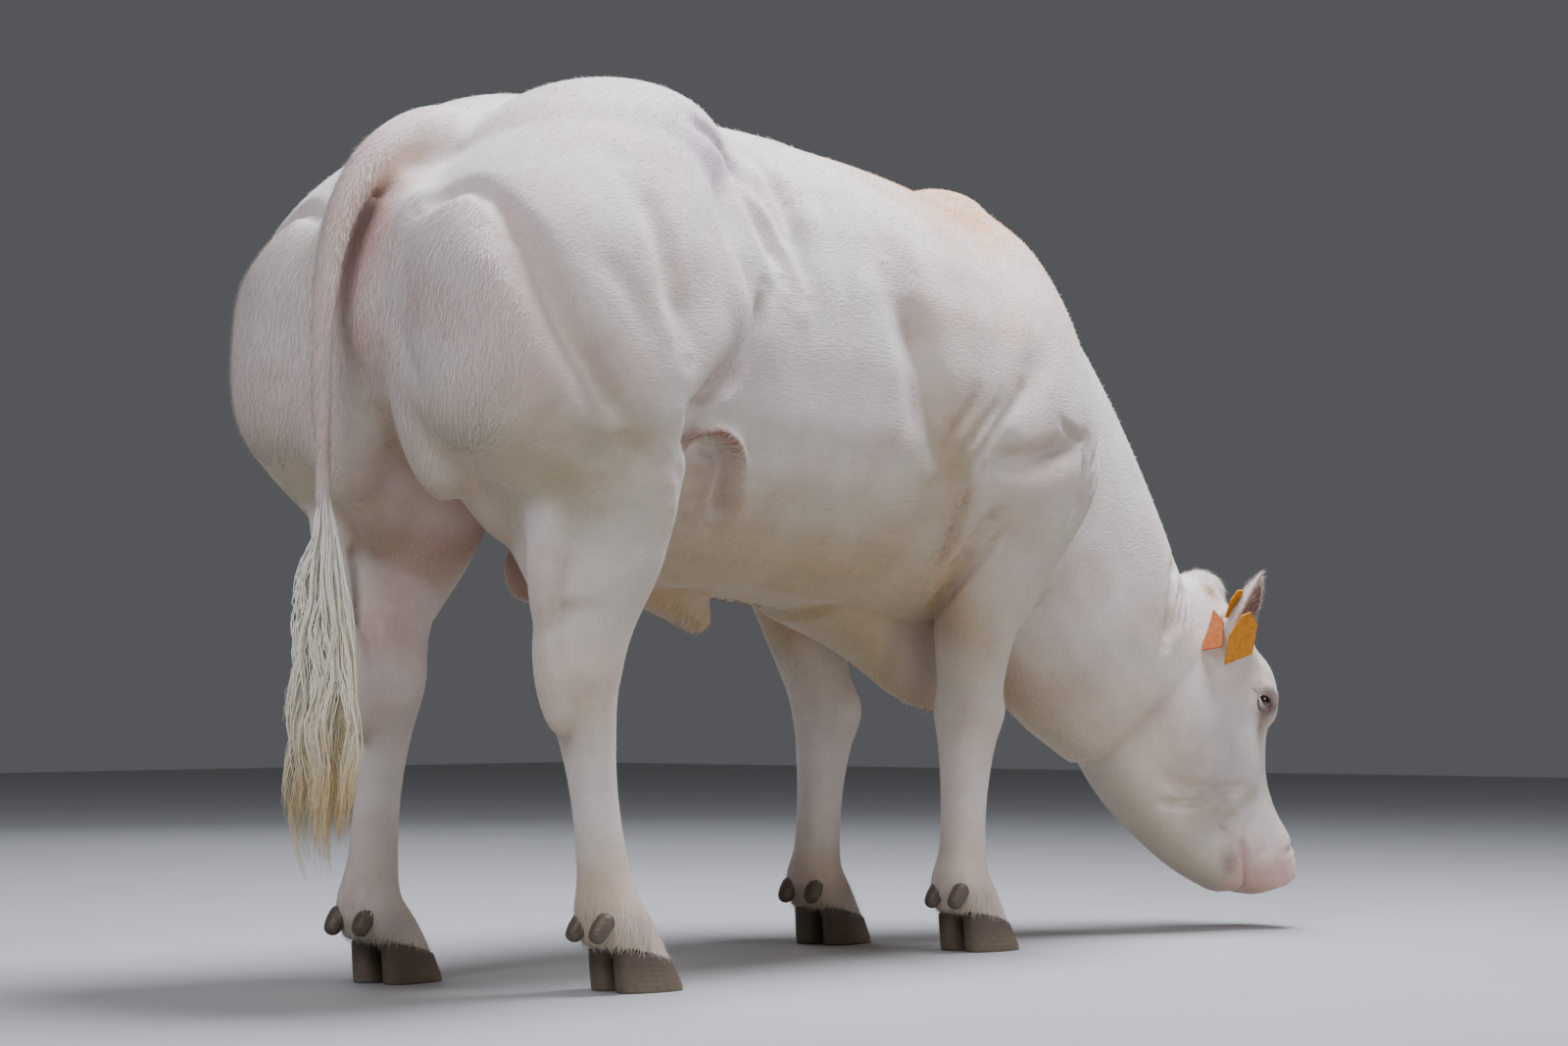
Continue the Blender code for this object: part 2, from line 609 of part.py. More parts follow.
def claws(leg, name):
    """The two claws of a foot, flat on the ground, each with a sloping toe and a rounded outer wall."""
    ankle = Vector(leg["fetlock"])
    heading = Matrix.Rotation(math.radians(leg["toe_out"]), 4, "Z")
    made = []
    front = 0.050 if name.startswith("hind") else 0.042
    for place, side in (("outer", leg["side"]), ("inner", -leg["side"])):
        mesh = bmesh.new()
        stations = [
            (0.012, 0, -0.014, 0.0300, 0.066, 0.060, 2.3),
            (0.006, 0, 0.012, 0.0305, 0.064, 0.058, 2.3),
            (-0.002, 0, 0.040, 0.0295, 0.056, 0.053, 2.3),
            (-0.012, 0, 0.075, 0.0275, 0.046, 0.046, 2.3),
        ]
        frame = Matrix.Translation((ankle.x + front, ankle.y, 0)) @ heading @ Matrix.Translation(
            (0, side * 0.0325, 0)) @ Matrix.Rotation(math.radians(side * 3), 4, "Z")
        # The sections are level, and with the line climbing their "above" looks back
        level = [(x, y, z, w, heel, toe, sq) for x, y, z, w, toe, heel, sq in stations]
        loft(mesh, level, frame=frame, sides=20, steps=1, cap=0.0, facing=(0, 0, 1))
        made.append(linked("claw_" + name + "_" + place, mesh, (0.10, 0.085, 0.075), 0.45))
    return made


def coronet_plane(leg):
    ankle = Vector(leg["fetlock"])
    return Vector((ankle.x + 0.05, ankle.y, CORONET - 0.008)), Vector((0.22, 0, 1)).normalized()


def dewclaws(leg, name):
    ankle = Vector(leg["fetlock"])
    heading = Matrix.Rotation(math.radians(leg["toe_out"]), 4, "Z")
    made = []
    for place, side in (("outer", leg["side"]), ("inner", -leg["side"])):
        mesh = bmesh.new()
        frame = Matrix.Translation(ankle + Vector((-0.044, 0, -0.018))) @ heading @ Matrix.Translation(
            (0, side * 0.029, 0)) @ Matrix.Rotation(math.radians(128), 4, "Y")
        loft(mesh, [
            (-0.012, 0, 0, 0.0170, 0.016, 0.016, 2.0),
            (0.006, 0, 0, 0.0175, 0.016, 0.016, 2.0),
            (0.020, 0, 0, 0.0150, 0.014, 0.014, 2.0),
        ], frame=frame, sides=10, steps=1, cap=0.7)
        made.append(linked("dewclaw_" + name + "_" + place, mesh, (0.09, 0.075, 0.065), 0.5))
    return made


def feet(flesh):
    for kind, legs in (("hind", HIND_LEGS), ("fore", FORE_LEGS)):
        for side, leg in legs.items():
            name = kind + "_" + side
            shank = flesh[kind + "_cannon_" + side]
            point, up = coronet_plane(leg)
            trimmed(shank, point, -up)
            for claw in claws(leg, name):
                trimmed(claw, point - up * GAP, up)
                trimmed(claw, Vector((0, 0, 0)), Vector((0, 0, -1)))
            for spur in dewclaws(leg, name):
                seated(shank, spur)


TAIL_LINE = [
    (-0.66, 0, 1.375, 0.046, 0.044, 0.046, 2.0),
    (-0.78, 0, 1.378, 0.046, 0.044, 0.046, 2.0),
    (-0.87, 0, 1.350, 0.042, 0.041, 0.042, 2.0),
    (-0.95, 0, 1.290, 0.035, 0.035, 0.035, 2.0),
    (-1.005, 0, 1.20, 0.029, 0.029, 0.029, 2.0),
    (-1.030, 0, 1.08, 0.024, 0.024, 0.024, 2.0),
    (-1.034, 0, 0.94, 0.021, 0.021, 0.021, 2.0),
    (-1.028, 0, 0.74, 0.018, 0.018, 0.018, 2.0),
]


def tail(host):
    """The dock, bedded in the rump, and the hanging shaft, met by a flat joint."""
    mesh = bmesh.new()
    loft(mesh, TAIL_LINE, sides=12, steps=2, cap=0.3)
    dock = linked("tail_dock", mesh, HIDE)
    mesh = bmesh.new()
    mesh.from_mesh(dock.data)
    shaft = linked("tail_shaft", mesh, HIDE)
    seated(host, dock)
    trimmed(dock, Vector((-1.0, 0, 1.06)), Vector((0, 0, -1)))
    trimmed(shaft, Vector((-1.0, 0, 1.06 - GAP)), Vector((0, 0, 1)))
    return shaft


def lock(mesh, root, tip, wide, bow, turn):
    """One flat, tapered, bending lock of hair."""
    root, tip = Vector(root), Vector(tip)
    ahead = (tip - root).normalized()
    beside = Matrix.Rotation(turn, 3, ahead) @ ahead.orthogonal().normalized()
    out = ahead.cross(beside)
    sections = 6
    rings = []
    for k in range(sections):
        t = k / sections
        width = wide * (0.55 + 1.1 * t) * (1 - t) ** 0.55 + 0.002
        swing = out * math.sin(math.pi * t * 1.5) + beside * 0.6 * math.sin(math.pi * 2 * t)
        place = root.lerp(tip, t) + swing * bow
        thick = width * 0.42
        rings.append([mesh.verts.new(place + beside * width * c + out * thick * s)
                      for c, s in ((1, 0), (0.2, 1), (-1, 0), (-0.2, -1))])
    end = mesh.verts.new(tip + out * bow * math.sin(math.pi * 1.5))
    for low, high in zip(rings, rings[1:]):
        for n in range(4):
            m = (n + 1) % 4
            mesh.faces.new((low[n], low[m], high[m], high[n]))
    mesh.faces.new(list(reversed(rings[0])))
    for n in range(4):
        mesh.faces.new((rings[-1][n], rings[-1][(n + 1) % 4], end))


def largest_surface(made):
    """Keeps only the largest closed surface of an object."""
    name, stuff = made.name, list(made.data.materials)
    parts = loose_parts(made)
    kept = linked(name, parts[0])
    for other in parts[1:]:
        other.free()
    for entry in stuff:
        kept.data.materials.append(entry)
    return kept


def switch(shaft):
    """The hair at the tail's end: a short core with overlapping locks sunk in it."""
    rng = random.Random(7)
    mesh = bmesh.new()
    loft(mesh, [
        (-1.028, 0, 0.760, 0.028, 0.028, 0.028, 2.0),
        (-1.028, 0, 0.700, 0.036, 0.036, 0.036, 2.0),
        (-1.028, 0, 0.600, 0.042, 0.040, 0.040, 2.0),
        (-1.028, 0, 0.520, 0.036, 0.034, 0.034, 2.0),
        (-1.028, 0, 0.470, 0.020, 0.020, 0.020, 2.0),
    ], sides=12, steps=1, cap=0.4)
    whole = linked("tail_switch", mesh, (0.82, 0.78, 0.62))
    count = 22
    for n in range(count):
        angle = n * 2.39996
        start = blend(0.70, 0.52, n / (count - 1))
        reach = blend(0.30, 0.52, ((n * 7) % count) / (count - 1))
        end = max(start - reach, 0.165 + 0.02 * rng.random())
        ring = 0.022
        spread = blend(0.058, 0.040, n / (count - 1)) * (0.75 + 0.5 * rng.random())
        root = (-1.028 + ring * math.cos(angle), ring * math.sin(angle), start)
        tip = (-1.028 + spread * math.cos(angle) * 0.9, spread * math.sin(angle), end)
        strand = bmesh.new()
        lock(strand, root, tip, 0.017, 0.008 * (1 if n % 2 else -1), angle + 0.6 * rng.random())
        bmesh.ops.recalc_face_normals(strand, faces=list(strand.faces))
        join = whole.modifiers.new("Join", "BOOLEAN")
        join.operation = "UNION"
        join.solver = "EXACT"
        join.object = cutter("lock_%02d" % n, strand)
        settled(whole)
    whole = largest_surface(whole)
    carved(whole, cutter("switch_seat", grown(shaft, GAP)))
    return whole


def scrotum(host):
    mesh = bmesh.new()
    loft(mesh, [
        (-0.55, 0, 0.790, 0.040, 0.045, 0.045, 2.0),
        (-0.55, 0, 0.740, 0.048, 0.048, 0.048, 2.0),
        (-0.555, 0, 0.675, 0.066, 0.055, 0.055, 2.2),
        (-0.555, 0, 0.640, 0.055, 0.045, 0.045, 2.2),
    ], sides=18, steps=2, cap=0.5)
    made = linked("scrotum", mesh, (0.42, 0.22, 0.16))
    seated(host, made)
    return made


EAR_ROOT = Vector((0.136, 0.089, -0.094))
EAR_LENGTH = 0.180


def ear_section(t):
    """Half width, curl in radians and wall of the ear at a share of its length."""
    width = 0.052 * math.sin(math.pi * (0.18 + 0.74 * t)) ** 0.7 * math.sqrt(1 - t**6)
    curl = blend(2.6, 1.15, min(t * 2.2, 1.0))
    wall = blend(0.0085, 0.0045, t)
    return max(width, 0.006), curl, wall


def ear(side):
    """A cupped leaf that grows from a round root, opening forwards and down."""
    frame = HEAD_FRAME @ Matrix.Translation((EAR_ROOT.x, side * EAR_ROOT.y, EAR_ROOT.z))
    ahead = Vector((-0.748, side * 0.521, 0.410)).normalized()
    opening = Vector((0.635, side * 0.741, 0.217))
    opening = (opening - ahead * opening.dot(ahead)).normalized()
    beside = ahead.cross(opening)
    mesh = bmesh.new()
    rings = []
    half = 9
    for k in range(10):
        t = k / 9
        width, curl, wall = ear_section(t)
        radius = width / math.sin(min(curl, math.pi / 2))
        place = ahead * (EAR_LENGTH * t) + opening * (radius * (1 + math.cos(curl)) / 2)
        ring = []
        for n in range(half):
            a = blend(-curl, curl, n / (half - 1))
            ring.append(place + beside * math.sin(a) * radius - opening * (math.cos(a) * radius))
        for n in range(half):
            a = blend(curl, -curl, n / (half - 1)) * 0.93
            inner = radius - wall if t > 0.2 else radius * 0.08
            ring.append(place + beside * math.sin(a) * inner - opening * (math.cos(a) * inner))
        rings.append([mesh.verts.new(frame @ p) for p in ring])
    count = 2 * half
    for low, high in zip(rings, rings[1:]):
        for n in range(count):
            m = (n + 1) % count
            mesh.faces.new((low[n], low[m], high[m], high[n]))
    for ring in (rings[0], rings[-1]):
        for n in range(half - 1):
            mesh.faces.new((ring[n], ring[n + 1], ring[count - 2 - n], ring[count - 1 - n]))
    bmesh.ops.recalc_face_normals(mesh, faces=list(mesh.faces))
    made = linked("ear_right" if side < 0 else "ear_left", mesh, HIDE)
    return made


EYE_PLACE = Vector((0.260, 0.104, -0.049))
EYE_RADIUS = 0.021


def eyes(head):
    for side, name in ((-1, "eye_right"), (1, "eye_left")):
        mesh = bmesh.new()
        place = HEAD_FRAME @ Matrix.Translation((EYE_PLACE.x, side * EYE_PLACE.y, EYE_PLACE.z))
        bmesh.ops.create_uvsphere(mesh, u_segments=14, v_segments=9, radius=EYE_RADIUS, matrix=place)
        made = linked(name, mesh, (0.02, 0.016, 0.014), 0.12)
        seated(head, made)


# Lines pressed into both sides of the head: the hollow round the eye, its two lids, the line below the cheek,
# the wing of the nostril and the corner of the mouth
HEAD_LINES = [
    ([(0.235, 0.118, -0.046), (0.285, 0.118, -0.056)], 0.008, 0.026),
    ([(0.228, 0.118, -0.046), (0.245, 0.120, -0.028), (0.268, 0.120, -0.030), (0.292, 0.116, -0.052)],
     -0.008, 0.010),
    ([(0.232, 0.118, -0.056), (0.252, 0.120, -0.072), (0.272, 0.119, -0.070), (0.292, 0.116, -0.058)],
     -0.005, 0.010),
    ([(0.42, 0.085, -0.10), (0.47, 0.085, -0.17), (0.44, 0.085, -0.26)], 0.008, 0.025),
    ([(0.590, 0.070, -0.066), (0.625, 0.072, -0.090), (0.622, 0.060, -0.118)], -0.007, 0.016),
]


def mouth(head):
    """The line of the mouth and the two nostrils, cut into the muzzle."""
    mesh = bmesh.new()
    frame = HEAD_FRAME @ Matrix.Translation((0.585, 0, -0.186)) @ Matrix.Rotation(math.radians(-7), 4, "Y")
    bmesh.ops.create_cube(mesh, size=1.0, matrix=frame @ Matrix.Diagonal((0.24, 0.30, 0.007, 1)))
    carved(head, cutter("mouth_line", mesh))
    for side in (-1, 1):
        mesh = bmesh.new()
        place = HEAD_FRAME @ Matrix.Translation((0.635, side * 0.050, -0.085)) @ Matrix.Rotation(
            side * 0.5, 4, "Z") @ Matrix.Rotation(0.5, 4, "Y") @ Matrix.Diagonal((0.030, 0.013, 0.020, 1))
        bmesh.ops.create_icosphere(mesh, subdivisions=2, radius=1.0, matrix=place)
        carved(head, cutter("nostril", mesh))


# Each tag in the head's frame: middle, the vector across it, the vector up it, the pin's end and the colour
TAGS = {
    "tag_back": ((0.074, -0.113, -0.127), (0.002, -0.053, 0.029), (-0.058, 0.031, 0.061),
                 (0.085, -0.095, -0.075), (0.72, 0.30, 0.12)),
    "tag_front": ((0.098, -0.177, -0.105), (0.006, -0.006, 0.071), (-0.089, -0.045, 0.017),
                 (0.075, -0.125, -0.060), (0.85, 0.50, 0.03)),
    "tag_stud": ((0.039, -0.152, -0.074), (0.008, 0.000, 0.033), (-0.051, -0.034, 0.012),
                 (0.050, -0.135, -0.055), (0.86, 0.62, 0.03)),
}
TAG_HALF_THICKNESS = 0.0016
TAG_OUTLINE = [(-0.5, -0.5), (0.5, -0.5), (0.5, 0.16), (0.16, 0.5), (-0.16, 0.5), (-0.5, 0.16)]


def tags():
    """Flat plates with sloping shoulders that hang from pins through the right ear."""
    made = []
    for name, (middle, across, upright, pin, colour) in TAGS.items():
        middle, across, upright = Vector(middle), Vector(across), Vector(upright)
        facing = across.cross(upright).normalized() * TAG_HALF_THICKNESS
        mesh = bmesh.new()
        flat = [middle + across * x + upright * y for x, y in TAG_OUTLINE]
        rows = [[mesh.verts.new(HEAD_FRAME @ (p + face)) for p in flat] for face in (-facing, facing)]
        count = len(TAG_OUTLINE)
        mesh.faces.new(list(reversed(rows[0])))
        mesh.faces.new(rows[1])
        for n in range(count):
            m = (n + 1) % count
            mesh.faces.new((rows[0][n], rows[0][m], rows[1][m], rows[1][n]))
        bmesh.ops.recalc_face_normals(mesh, faces=list(mesh.faces))
        plate = linked(name, mesh, colour, 0.4)
        start = HEAD_FRAME @ (middle + upright * 0.36)
        end = HEAD_FRAME @ Vector(pin)
        mesh = bmesh.new()
        turned = (end - start).to_track_quat("Z", "Y").to_matrix().to_4x4()
        place = Matrix.Translation((start + end) / 2) @ turned
        long = (end - start).length
        bmesh.ops.create_cone(
            mesh, cap_ends=True, segments=10, radius1=0.006, radius2=0.004, depth=long, matrix=place
        )
        join = plate.modifiers.new("Pin", "BOOLEAN")
        join.operation = "UNION"
        join.solver = "EXACT"
        join.object = cutter("pin_" + name, mesh)
        settled(plate)
        made.append(plate)
    return made


def grounded(objects):
    """Moves everything so that the claws stand on zero and the whole is centred above it."""
    corners = [v.co for made in objects for v in made.data.vertices]
    low = [min(c[k] for c in corners) for k in range(3)]
    high = [max(c[k] for c in corners) for k in range(3)]
    shift = Vector((-(low[0] + high[0]) / 2, -(low[1] + high[1]) / 2, -low[2]))
    for made in objects:
        made.data.transform(Matrix.Translation(shift))
    print("moved by", tuple(round(v, 5) for v in shift))


def build():
    body = fused("body", flesh_mesh(), BODY_VOXEL, 6, 24)
    for line, depth, width in GROOVES:
        pressed(body, line, depth, width)
    thinned(body, BODY_TRIANGLES)
    flesh = part_flesh(body)
    head = fused("head", head_mesh(), HEAD_VOXEL, 18, 0)
    for side in (-1, 1):
        for line, depth, width in HEAD_LINES:
            pressed(head, [HEAD_FRAME @ Vector((s, side * y, z)) for s, y, z in line], depth, width, False)
    point, away = POLL_CUT
    trimmed(head, point - away * 0.003, -away)
    thinned(head, HEAD_TRIANGLES)
    trimmed(head, point, -away)
    trimmed(flesh["neck"], point - away * GAP, away)
    coat(head, HIDE, 0.8)
    eyes(head)
    mouth(head)
    worn = tags()
    for plate in worn:
        carved(plate, cutter("head_clear", grown(head, GAP)))
    for side in (-1, 1):
        shell = largest_surface(carved(ear(side), cutter("head_clear", grown(head, GAP))))
        if side < 0:
            for plate in worn:
                largest_surface(carved(plate, cutter("ear_clear", grown(shell, 2 * GAP))))
    feet(flesh)
    shaft = tail(flesh["hindquarters"])
    switch(shaft)
    scrotum(flesh["hindquarters"])
    largest_surface(flesh["hindquarters"])
    grounded([made for made in NODES.objects])
    for made in NODES.objects:
        print(made.name, len(made.data.vertices))


clear_scene()
NODES = bpy.data.collections.new("belgian_blue_bull")
CUTTERS = bpy.data.collections.new("cutters")
CUTTERS.hide_render = True
bpy.context.scene.collection.children.link(NODES)
bpy.context.scene.collection.children.link(CUTTERS)
build()
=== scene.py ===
# A double-muscled beef bull that grazes, dressed as a life-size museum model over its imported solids.
# One seamless skin from lofted masses, short coat tufts, a combed tail switch, glass eyes, hooves and ear tags.

import math
import random

import bmesh
import bpy
import numpy as np
from mathutils import Matrix, Vector, noise
from mathutils.kdtree import KDTree
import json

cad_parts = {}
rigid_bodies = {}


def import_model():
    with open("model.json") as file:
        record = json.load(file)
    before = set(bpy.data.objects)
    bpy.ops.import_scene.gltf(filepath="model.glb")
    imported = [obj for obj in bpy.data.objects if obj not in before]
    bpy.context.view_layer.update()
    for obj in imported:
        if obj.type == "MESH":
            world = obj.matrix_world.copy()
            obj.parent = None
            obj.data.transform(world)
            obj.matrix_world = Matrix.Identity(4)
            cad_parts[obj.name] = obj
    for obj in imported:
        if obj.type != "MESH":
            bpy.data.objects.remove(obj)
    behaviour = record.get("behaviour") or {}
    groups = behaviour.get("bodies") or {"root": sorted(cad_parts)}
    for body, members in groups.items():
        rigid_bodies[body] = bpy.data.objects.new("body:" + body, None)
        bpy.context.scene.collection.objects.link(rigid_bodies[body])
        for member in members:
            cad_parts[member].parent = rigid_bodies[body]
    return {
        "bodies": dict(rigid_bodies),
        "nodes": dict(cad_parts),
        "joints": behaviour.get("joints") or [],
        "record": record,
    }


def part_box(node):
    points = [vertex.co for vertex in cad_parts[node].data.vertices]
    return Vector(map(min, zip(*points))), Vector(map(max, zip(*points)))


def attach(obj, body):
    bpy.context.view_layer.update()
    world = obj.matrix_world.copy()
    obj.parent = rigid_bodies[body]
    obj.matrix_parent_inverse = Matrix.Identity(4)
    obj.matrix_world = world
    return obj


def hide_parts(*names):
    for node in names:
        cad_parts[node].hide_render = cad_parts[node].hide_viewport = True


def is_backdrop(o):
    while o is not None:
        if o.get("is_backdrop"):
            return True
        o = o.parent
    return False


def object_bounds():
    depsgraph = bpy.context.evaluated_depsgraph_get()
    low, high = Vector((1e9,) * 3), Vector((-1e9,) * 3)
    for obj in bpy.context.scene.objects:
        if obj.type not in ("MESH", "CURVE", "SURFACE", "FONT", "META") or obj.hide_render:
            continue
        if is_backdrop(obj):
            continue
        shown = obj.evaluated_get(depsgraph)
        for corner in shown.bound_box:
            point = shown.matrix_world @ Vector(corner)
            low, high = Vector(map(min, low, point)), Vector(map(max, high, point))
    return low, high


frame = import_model()
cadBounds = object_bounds()
nodes = frame["nodes"]


# Sizes of the body in metres, nose towards +X, left side at +Y
bull = {
    "withersHeight": 1.46,
    "rumpHeight": 1.5,
    "chestFloor": 0.6,
    "barrelHalfWidth": 0.37,
}


poll = Vector((1.2, -0.18, 0.72))
headFrame = (
    Matrix.Translation(poll)
    @ Matrix.Rotation(math.radians(-16.0), 4, "Z")
    @ Matrix.Rotation(math.radians(67.5), 4, "Y")
)
headAxes = np.array(headFrame)[:3, :3]
eyeball = {"place": Vector((0.26, 0.104, -0.049)), "radius": 0.021, "out": (0.1, 0.96, 0.24)}
earShape = {"root": Vector((0.136, 0.089, -0.094)), "length": 0.18, "halfWidth": 0.052, "wall": (0.008, 0.004),
            "across": 17, "along": 30}


def onSide(place, side):
    # a place or direction of the left side, or its mirror image where side is -1
    return np.array(place) * (1, side, 1)


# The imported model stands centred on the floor, so the masses move by the same step as its right eye
low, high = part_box("eye_right")
moved = (low + high) / 2 - headFrame @ Vector(onSide(eyeball["place"], -1))
print("masses move by", [round(v, 5) for v in moved])


def straight(colour):
    # sRGB hex to the linear colour that the shaders take
    parts = [int(colour[i:i + 2], 16) / 255 for i in (1, 3, 5)]
    return tuple(c / 12.92 if c <= 0.04045 else ((c + 0.055) / 1.055) ** 2.4 for c in parts)


def placed(name, data):
    made = bpy.data.objects.new(name, data)
    bpy.context.scene.collection.objects.link(made)
    return made


def pieceFrom(name, mesh):
    data = bpy.data.meshes.new(name)
    mesh.to_mesh(data)
    mesh.free()
    return placed(name, data)


def settled(made):
    # the modifiers become plain mesh
    graph = bpy.context.evaluated_depsgraph_get()
    fresh = bpy.data.meshes.new_from_object(made.evaluated_get(graph))
    made.modifiers.clear()
    made.data = fresh
    return made


def fused(made, voxel, rounds):
    # overlapping forms become one even surface, smoothed for some rounds
    remesh = made.modifiers.new("fuse", "REMESH")
    remesh.mode = "VOXEL"
    remesh.voxel_size = voxel
    soften = made.modifiers.new("soften", "SMOOTH")
    soften.iterations = rounds
    return settled(made)


def smoothShaded(made):
    made.data.polygons.foreach_set("use_smooth", [True] * len(made.data.polygons))
    made.data.update()
    return made


def readVerts(data, what="co"):
    flat = np.empty(len(data.vertices) * 3)
    data.vertices.foreach_get(what, flat)
    return flat.reshape(-1, 3)


def writeVerts(data, places):
    data.vertices.foreach_set("co", places.ravel())
    data.update()


def treeOf(places):
    tree = KDTree(len(places))
    for index, place in enumerate(places):
        tree.insert(place, index)
    tree.balance()
    return tree


def lengths(steps):
    return np.linalg.norm(steps, axis=1)


def bell(value):
    return np.exp(-(value**2))


def ramped(value, start, end):
    # eases from 0 at start to 1 at end
    t = np.clip((value - start) / (end - start), 0, 1)
    return t * t * (3 - 2 * t)


def nearLine(places, line):
    # distance of each place to a polyline
    nearest = np.full(len(places), 1e9)
    points = np.array([list(p) for p in line])
    for start, end in zip(points, points[1:]):
        along = end - start
        share = np.clip((places - start) @ along / (along @ along), 0, 1)
        nearest = np.minimum(nearest, lengths(places - start - share[:, None] * along))
    return nearest


def laidOn(places, lines, apart=0.015):
    # takes each line to the points of the surface nearest it, every 15 mm along
    tree = treeOf(places)
    found = []
    for line, *rest in lines:
        course = []
        for start, end in zip(line, line[1:]):
            start, end = np.array(start), np.array(end)
            parts = max(1, round(np.linalg.norm(end - start) / apart))
            course += [start + (end - start) * part / parts for part in range(parts)]
        course.append(np.array(line[-1]))
        course = np.array([tree.find(place)[0] for place in course])
        course[1:-1] = (course[:-2] + 2 * course[1:-1] + course[2:]) / 4
        found.append((course, *rest))
    return found


def besideLine(places, line, width):
    # how strongly a line of a given width works on each place: 1 on it, fading out across it and at its ends
    strength = np.zeros(len(places))
    low, high = line.min(axis=0) - 3 * width, line.max(axis=0) + 3 * width
    near = np.nonzero(((places > low) & (places < high)).all(axis=1))[0]
    ends = np.minimum(lengths(places[near] - line[0]), lengths(places[near] - line[-1]))
    fade = np.clip(ends / (3 * width) + 0.15, 0, 1)
    strength[near] = fade * bell(nearLine(places[near], line) / width)
    return strength


def pressed(made, lines):
    # soft grooves along lines on the surface, each (line, depth, width); a negative depth is a ridge
    places, normals = readVerts(made.data), readVerts(made.data, "normal")
    step = np.zeros(len(places))
    for line, depth, width in laidOn(places, lines):
        step += depth * besideLine(places, line, width)
    writeVerts(made.data, places - normals * step[:, None])


def mirrored(lines):
    return [(onSide(line, side), *rest) for line, *rest in lines for side in (1, -1)]


def onHead(lines):
    # lines of the head's own frame, brought to both sides of the bull's head
    return [([headFrame @ Vector(onSide(p, side)) for p in line], *rest)
            for side in (-1, 1) for line, *rest in lines]


def finer(made, middle, radius):
    # splits the faces round a place so that small forms can be pressed into them
    mesh = bmesh.new()
    mesh.from_mesh(made.data)
    near = [face for face in mesh.faces if (face.calc_center_median() - middle).length < radius]
    edges = {edge for face in near for edge in face.edges}
    bmesh.ops.subdivide_edges(mesh, edges=list(edges), cuts=1, use_grid_fill=True)
    bmesh.ops.triangulate(mesh, faces=[face for face in mesh.faces if len(face.verts) > 4])
    mesh.to_mesh(made.data)
    mesh.free()


# Stifle or elbow, then hock or knee, then fetlock, of the right leg and of the left one
hindLegs = [
    {"stifle": (-0.615, -0.27, 0.86), "hock": (-0.69, -0.222, 0.5), "fetlock": (-0.61, -0.214, 0.125)},
    {"stifle": (-0.62, 0.26, 0.86), "hock": (-0.754, 0.152, 0.49), "fetlock": (-0.745, 0.193, 0.125)},
]
foreLegs = [
    {"elbow": (0.38, -0.22, 0.8), "knee": (0.455, -0.132, 0.44), "fetlock": (0.425, -0.138, 0.125)},
    {"elbow": (0.32, 0.22, 0.8), "knee": (0.4, 0.165, 0.44), "fetlock": (0.385, 0.177, 0.125)},
]
tailLine = [
    (-0.66, 0, 1.375, 0.046, 0.044, 0.046, 2.0),
    (-0.78, 0, 1.378, 0.046, 0.044, 0.046, 2.0),
    (-0.87, 0, 1.35, 0.042, 0.041, 0.042, 2.0),
    (-0.95, 0, 1.29, 0.035, 0.035, 0.035, 2.0),
    (-1.005, 0, 1.2, 0.029, 0.029, 0.029, 2.0),
    (-1.03, 0, 1.08, 0.024, 0.024, 0.024, 2.0),
    (-1.034, 0, 0.94, 0.021, 0.021, 0.021, 2.0),
    (-1.028, 0, 0.74, 0.018, 0.018, 0.018, 2.0),
]
scrotumLine = [
    (-0.55, 0, 0.79, 0.04, 0.045, 0.045, 2.0),
    (-0.55, 0, 0.74, 0.048, 0.048, 0.048, 2.0),
    (-0.555, 0, 0.675, 0.066, 0.055, 0.055, 2.2),
    (-0.555, 0, 0.64, 0.055, 0.045, 0.045, 2.2),
]


def blend(a, b, t):
    return a + (b - a) * t


# The station at a fractional position, on a curve through all of them.
def smoothStation(stations, position):
    last = len(stations) - 1
    i = min(int(position), last - 1)
    t = position - i
    before, start = stations[max(i - 1, 0)], stations[i]
    end, after = stations[i + 1], stations[min(i + 2, last)]
    made = []
    for a, b, c, d in zip(before, start, end, after):
        made.append(
            0.5 * (2 * b + (c - a) * t + (2 * a - 5 * b + 4 * c - d) * t**2 + (3 * b - a - 3 * c + d) * t**3)
        )
    return made


